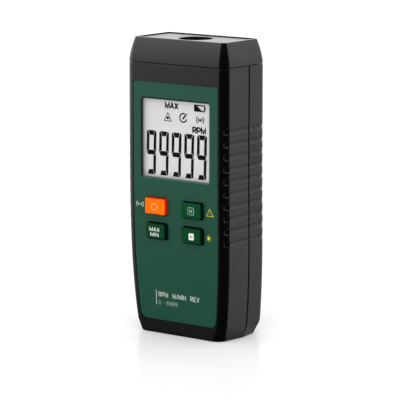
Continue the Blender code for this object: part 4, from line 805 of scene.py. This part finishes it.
def layWaves(centre, radii, spread, width, dot, face, lift):
    # a dot between pairs of arcs
    parts = [layOutline(circlePoints(dot, 20, centre), face, lift)]
    for radius in radii:
        for turn in (0, 180):
            parts.append(layStroke(arcPoints(centre, radius, turn - spread, turn + spread), width, face, lift))
    return parts


def spanCorners(span):
    # the corners of a span from x to x and from z to z
    x0, x1, z0, z1 = span
    return [(x0, z0), (x1, z0), (x1, z1), (x0, z1)]


def layTriangle(span, width, dot, face, lift):
    # a triangle of one line width that fills a span, and a dot at its middle
    x0, x1, z0, z1 = span
    points = [(x0 + width, z0 + width / 2), (x1 - width, z0 + width / 2), ((x0 + x1) / 2, z1 - width)]
    centre = ((x0 + x1) / 2, z0 + (z1 - z0) * 0.36)
    return [layStroke(points, width, face, lift, True), layOutline(circlePoints(dot, 20, centre), face, lift)]


# The display: five equal digits, with segments of two thicknesses, and small signs above them.
digitPlan = {"starts": (-0.02137, -0.01292, -0.00448, 0.00397, 0.01241), "width": 0.0065, "low": 0.0869,
             "height": 0.0238, "upright": 0.00180, "level": 0.0026, "gap": 0.00013, "slant": 0.0006,
             "segments": "abcdfg"}
# The signs: letters and their spans, and the fields of the speed sign's needle and of the battery sign.
displayMarks = {
    "lift": 0.00004, "line": 0.00055, "letter": 0.00088,
    "words": {"MAX": (-0.00864, 0.00058, 0.12300, 0.12680), "RPM": (0.00971, 0.01883, 0.11105, 0.11490)},
    "beam": (-0.00944, -0.00383, 0.11636, 0.12148), "signal": (0.01492, 0.11870), "speed": (0.00374, 0.11902),
    "cell": (0.0112, 0.0178, 0.1234, 0.1264),
    "fields": ([(0.0030, 0.1187), (0.0039, 0.1180), (0.0063, 0.1212), (0.0058, 0.1216)],
               [(0.0113, 0.1235), (0.0164, 0.1235), (0.0126, 0.1263), (0.0113, 0.1263)],
               [(0.0181, 0.1241), (0.01858, 0.1241), (0.01858, 0.12566), (0.0181, 0.12566)]),
}


def digitSegments():
    # outlines in a cell of one digit; the lower half mirrors the upper one
    w, h, t, s, g = (digitPlan[key] for key in ("width", "height", "upright", "level", "gap"))
    m = h / 2
    top = [(0.62 * t, h), (w - 0.62 * t, h), (w - t - g, h - s), (t + g, h - s)]
    left = [(0, m + 3 * g), (0, h - 0.5 * t), (0.35 * t, h - g), (0.62 * t - 1.5 * g, h - g), (t - g / 2, h - s),
            (t, m + s / 2 + 1.5 * g), (0.6 * t, m + s / 2 + 1.5 * g), (2 * g, m + 3 * g)]
    middle = [(3 * g, m), (0.6 * t, m + s / 2), (w - 0.6 * t, m + s / 2), (w - 3 * g, m),
              (w - 0.6 * t, m - s / 2), (0.6 * t, m - s / 2)]
    mirrorX = lambda outline: [(w - x, z) for x, z in outline]
    mirrorZ = lambda outline: [(x, h - z) for x, z in outline]
    return {"a": top, "b": mirrorX(left), "c": mirrorX(mirrorZ(left)), "d": mirrorZ(top),
            "e": mirrorZ(left), "f": left, "g": middle}


def buildDisplayMarks():
    # the lit segments, which lean with their height, and the signs, all on the front of the display's glass
    marks, line = displayMarks, displayMarks["line"]
    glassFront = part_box("lcd_glass")[0][1]
    on = (lambda x, z: glassFront, marks["lift"])
    shapes, parts = digitSegments(), []
    for start in digitPlan["starts"]:
        for letter in digitPlan["segments"]:
            outline = np.array(shapes[letter])
            outline[:, 0] += start + digitPlan["slant"] * outline[:, 1] / digitPlan["height"]
            outline[:, 1] += digitPlan["low"]
            parts.append(layOutline(outline, *on))
    for words, span in marks["words"].items():
        parts += layWords(words, span, marks["letter"], *on)
    parts += layTriangle(marks["beam"], line * 0.8, 0.00085, *on)
    parts += layWaves(marks["signal"], (0.00125, 0.0024), 48, line, 0.0007, *on)
    parts.append(layStroke(arcPoints(marks["speed"], 0.00230, 62, 345, 32), line * 1.4, *on))
    parts.append(layStroke(spanCorners(marks["cell"]), line * 1.2, *on, True))
    parts += [layOutline(outline, *on) for outline in marks["fields"]]
    dress(mergePieces("displaySegments", parts), displayInk, "case", "chip_resin")


buildDisplayMarks()

# Print on the panel and on the keys, raised by a few hundredths of a millimetre: line widths, places and spans.
printPlan = {
    "lift": 0.00003, "line": 0.00030, "keyLine": 0.00034, "thin": 0.00024,
    "signal": (-0.02405, 0.07027), "bar": (-0.01445, -0.01421, 0.01588, 0.0240),
    "units": ("RPM  M/MIN  REV", (-0.01276, 0.01476, 0.0203, 0.0231)),
    "range": ("0 - 99999", (-0.01276, 0.0000, 0.0161, 0.0183)),
    "beam": (0.02029, 0.02545, 0.06821, 0.07243), "lamp": (0.02198, 0.05634),
    "power": (-0.01243, 0.07025), "memory": (0.01221, 0.0703), "memoryLetter": (0.01135, 0.01307, 0.0693, 0.0713),
    "most": (-0.0160, -0.0090, 0.0567, 0.0589), "least": (-0.0153, -0.0097, 0.0539, 0.0561),
    "hold": (0.01227, 0.0565), "holdLetter": (0.0115, 0.01304, 0.0555, 0.0575),
}


def inkOn(name, parts, ink, body="case", slotName="white_plastic"):
    # all parts as one piece of print on a body
    dress(mergePieces(name, parts), ink, body, slotName)


def buildPanelPrint():
    # signs beside the keys and two generic lines under them, on the panel's front
    plan, line = printPlan, printPlan["line"]
    on = (lambda x, z: frontAt(z) + facePlan["inset"], plan["lift"])
    white = layWaves(plan["signal"], (0.00125, 0.00230), 38, line * 0.85, 0.00034, *on)
    white.append(layOutline(spanCorners(plan["bar"]), *on))
    inkOn("whitePanelPrint", white, whitePrint)
    inkOn("unitsPrint", layWords(*plan["units"], plan["thin"], *on), whitePrint)
    inkOn("spanPrint", layWords(*plan["range"], plan["thin"] * 0.8, *on), palePrint)
    yellow = layTriangle(plan["beam"], line, 0.00030, *on)
    yellow.append(layOutline(circlePoints(0.0010, 24, plan["lamp"]), *on))
    for turn in range(0, 360, 45):
        ray = [arcPoints(plan["lamp"], radius, turn, turn, 1)[0] for radius in (0.0015, 0.0020)]
        yellow.append(layStroke(ray, line * 0.7, *on))
    inkOn("yellowPanelPrint", yellow, yellowPrint)


def buildKeyPrint():
    # generic signs on the domed face of each key; the letter of the last one lies on its white field
    plan, lift, line = printPlan, printPlan["lift"], printPlan["keyLine"]
    on, (x, z) = (keyFace("power"), lift), plan["power"]
    inkOn("powerPrint", [layStroke(arcPoints((x, z), 0.00185, 118, 422, 36), line, *on),
                         layStroke([(x, 0.0709), (x, 0.0724)], line, *on)], peachPrint, "key_power_body")
    on = (keyFace("memory"), lift)
    outline = roundRect(0.0019, 0.0019, 0.0005, 4, plan["memory"])
    inkOn("memoryPrint", [layStroke(outline, line * 0.8, *on, True),
                          *layWords("M", plan["memoryLetter"], line, *on)], palePrint, "key_memory_body")
    on = (keyFace("max_min"), lift)
    words = [*layWords("MAX", plan["most"], line, *on), *layWords("MIN", plan["least"], line, *on)]
    inkOn("maxMinPrint", words, whitePrint, "key_max_min_body")
    face = keyFace("hold")
    field = layOutline(roundRect(0.0017, 0.0018, 0.0004, 4, plan["hold"]), face, lift)
    inkOn("holdPrint", [field], whitePrint, "key_hold_body")
    letter = layWords("H", plan["holdLetter"], line, lambda x, z: face(x, z) - lift, 0.000008)
    inkOn("holdLetter", letter, darkPrint, "key_hold_body", "chip_resin")


buildPanelPrint()
buildKeyPrint()
print("print ready")

# The case screws in their wells: pan heads with a rounded rim and a cross recess.
screwShape = {"head": 0.0024, "thick": 0.0016, "sink": 0.0012, "shaft": 0.00125, "length": 0.024, "round": 0.0006,
              "slotLength": 0.0030, "slotWidth": 0.00065, "slotDepth": 0.0009}


def buildCaseScrews():
    # a profile turned round each screw's line, from the point over the shaft to the head's quarter-round rim, less
    # two crossed slots
    plan, turn = screwShape, np.linspace(0, math.pi / 2, 6)
    for number, (x, z) in enumerate(screwPlan["case"], 1):
        end = backAt(z) - plan["sink"]
        under = end - plan["thick"]
        tip = under - plan["length"]
        profile = [(plan["shaft"] * 0.6, tip), (plan["shaft"], tip + 0.0008), (plan["shaft"], under),
                   (plan["head"], under)]
        profile += zip(plan["head"] - plan["round"] * (1 - np.cos(turn)), end - plan["round"] * (1 - np.sin(turn)))
        screw = turned("caseScrew" + str(number), profile, (x, z), "y", 40)
        long, short = plan["slotLength"] / 2, plan["slotWidth"] / 2
        for halfX, halfZ in ((long, short), (short, long)):
            outline = roundRect(halfX, halfZ, plan["slotWidth"] * 0.3, 2, (x, z))
            cutAway(screw, prism("recess", outline, (end - plan["slotDepth"], end + 0.001), "y"))
        dress(smoothFaces(screw, 40), zincSteel, "case", "steel", "case_screw_" + str(number))


buildCaseScrews()
print("screws ready")

# Every other piece keeps its shape and gets its material.
pieceFinish = {
    blackAbs: ["battery_door", "optics_block"], clearWindow: ["display_window"], displayGrey: ["lcd_glass"],
    whitePlastic: ["backlight_panel", "lcd_frame"], stripRubber: ["zebra_strip"], lensGlass: ["collecting_lens"],
    chipResin: ["processor", "photodiode", *("switch_" + name for name in keyPlaces)],
    solderMask: ["main_board", "contact_board", "sensor_board"], darkFilter: ["aperture_window"],
    turnedBrass: ["laser_module", "tripod_insert"], batterySleeve: ["battery"],
    zincSteel: ["radio_module", "contact_plus", "contact_minus", *("plunger_" + name for name in keyPlaces),
                *("board_screw_" + str(number) for number in range(1, 5))],
}
for material, nodeNames in pieceFinish.items():
    for nodeName in nodeNames:
        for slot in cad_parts[nodeName].material_slots:
            slot.material = material


# The camera, the room and the light

def aimCamera(spec):
    # stands where the photograph was taken from, turned and tipped by two angles
    lens = bpy.data.cameras.new("camera")
    lens.sensor_width = spec["sensor"]
    lens.lens = spec["focalPixels"] * spec["sensor"] / spec["frame"]
    eye = bpy.data.objects.new("camera", lens)
    eye.location = spec["place"]
    eye.rotation_euler = (math.radians(90 - spec["tip"]), 0, math.radians(spec["turn"]))
    bpy.context.scene.collection.objects.link(eye)
    bpy.context.scene.camera = eye


aimCamera({"sensor": 36, "frame": 400, "focalPixels": 2420.42,
           "place": (0.77529, -1.026869, 0.29245), "turn": 36.96, "tip": 9.71})

# The room: its plain level, and what gloss sees by heading and by height.
roomLight = {"plain": 1.0, "gain": 2.0, "sides": (
    {"heading": ((-180, 1.0), (180, 1.0)), "height": ((-90, 0.0), (38, 0.0), (58, 0.8), (90, 1.0))},
    {"heading": ((-180, 1.35), (-60, 1.45), (-52, 1.7), (-22, 0.0), (180, 0.0)),
     "height": ((-24, 0.0), (-19, 0.03), (-14, 0.33), (-9, 0.85), (-3, 1.12), (10, 1.35), (35, 1.7))},
    {"heading": ((-180, 0.0), (122, 0.0), (126, 0.02), (141, 1.02), (180, 1.02)),
     "height": ((-30, 0.36), (-20, 0.62), (-9, 0.93), (10, 1.2), (35, 1.4))})}


def lightRoom(plan):
    # Gloss sees the sum over the sides of a brightness by heading times one by height, both read from ramps.
    # The eye and clear glass see a strength of 1, and everything else the plain level.
    world = bpy.data.worlds.new("room")
    world.use_nodes = True
    world.cycles.sampling_method = "NONE"
    tree = world.node_tree
    heading = addNode(tree, "SeparateXYZ", {"Vector": addNode(tree, "TexCoord", {}).outputs["Generated"]})
    flipped = addNode(tree, "Math", {0: heading.outputs["Y"], 1: -1.0}, operation="MULTIPLY")
    angle = addNode(tree, "Math", {0: heading.outputs["X"], 1: flipped.outputs[0]}, operation="ARCTAN2")
    rise = addNode(tree, "Math", {0: heading.outputs["Z"]}, operation="ARCSINE")
    seen = 0.0
    for side in plan["sides"]:
        level = plan["gain"] ** 2
        for value, stops, whole in ((angle, side["heading"], 360), (rise, side["height"], 180)):
            share = addNode(tree, "Math", {0: value.outputs[0], 1: 1 / math.radians(whole), 2: 0.5},
                            operation="MULTIPLY_ADD")
            ramp = addNode(tree, "ValToRGB", {"Fac": share.outputs[0]})
            while len(ramp.color_ramp.elements) < len(stops):
                ramp.color_ramp.elements.new(0.5)
            for element, (degrees, brightness) in zip(ramp.color_ramp.elements, stops):
                element.position = degrees / whole + 0.5
                element.color = (brightness / plan["gain"],) * 3 + (1,)
            level = addNode(tree, "Math", {0: ramp.outputs["Color"], 1: level}, operation="MULTIPLY").outputs[0]
        seen = addNode(tree, "Math", {0: level, 1: seen}, operation="ADD").outputs[0]
    path = addNode(tree, "LightPath", {})
    glossy = addNode(tree, "Mix", {0: path.outputs["Is Glossy Ray"], "A": plan["plain"], "B": seen})
    clear = addNode(tree, "Math", {0: path.outputs["Is Camera Ray"], 1: path.outputs["Is Transmission Ray"]},
                    operation="MAXIMUM")
    strength = addNode(tree, "Mix", {0: clear.outputs[0], "A": glossy.outputs[0], "B": 1.0})
    tree.links.new(strength.outputs[0], tree.nodes["Background"].inputs["Strength"])
    tree.nodes["Background"].inputs["Color"].default_value = (1, 1, 1, 1)
    bpy.context.scene.world = world


def addLamp(name, place, aim, spread, energy):
    # parallel light along the line from a place to its aim, as wide as a ceiling of soft lamps
    lamp = bpy.data.lights.new(name, "SUN")
    lamp.angle = math.radians(spread)
    lamp.energy = energy
    holder = bpy.data.objects.new(name, lamp)
    holder.location = place
    holder.rotation_euler = (Vector(aim) - Vector(place)).to_track_quat("-Z", "Y").to_euler()
    holder.visible_glossy = False
    bpy.context.scene.collection.objects.link(holder)


def layFloor(size, colour):
    # a square just under the base: matt, with a faint gloss that doubles the foot softly
    floor = makeMesh("floor", [[(x, y, -0.0001) for x in (-size, size)] for y in (-size, size)], False)
    table = bpy.data.materials.new("paleTable")
    table.use_nodes = True
    tree = table.node_tree
    tree.nodes.remove(tree.nodes["Principled BSDF"])
    matte = addNode(tree, "BsdfDiffuse", {"Color": linear(colour)})
    shine = addNode(tree, "BsdfGlossy", {"Color": linear(colour), "Roughness": 0.2})
    both = addNode(tree, "MixShader", {0: 0.09, 1: matte.outputs[0], 2: shine.outputs[0]})
    tree.links.new(both.outputs[0], tree.nodes["Material Output"].inputs["Surface"])
    floor.data.materials.append(table)
    floor.visible_glossy = False


lightRoom(roomLight)
addLamp("ceiling", (0.5, -0.9, 1.5), (0.0, 0.0, 0.0), 50.0, 0.65)
layFloor(6.0, "#FBFBFB")
bpy.context.scene.view_settings.view_transform = "Standard"
print("light ready")
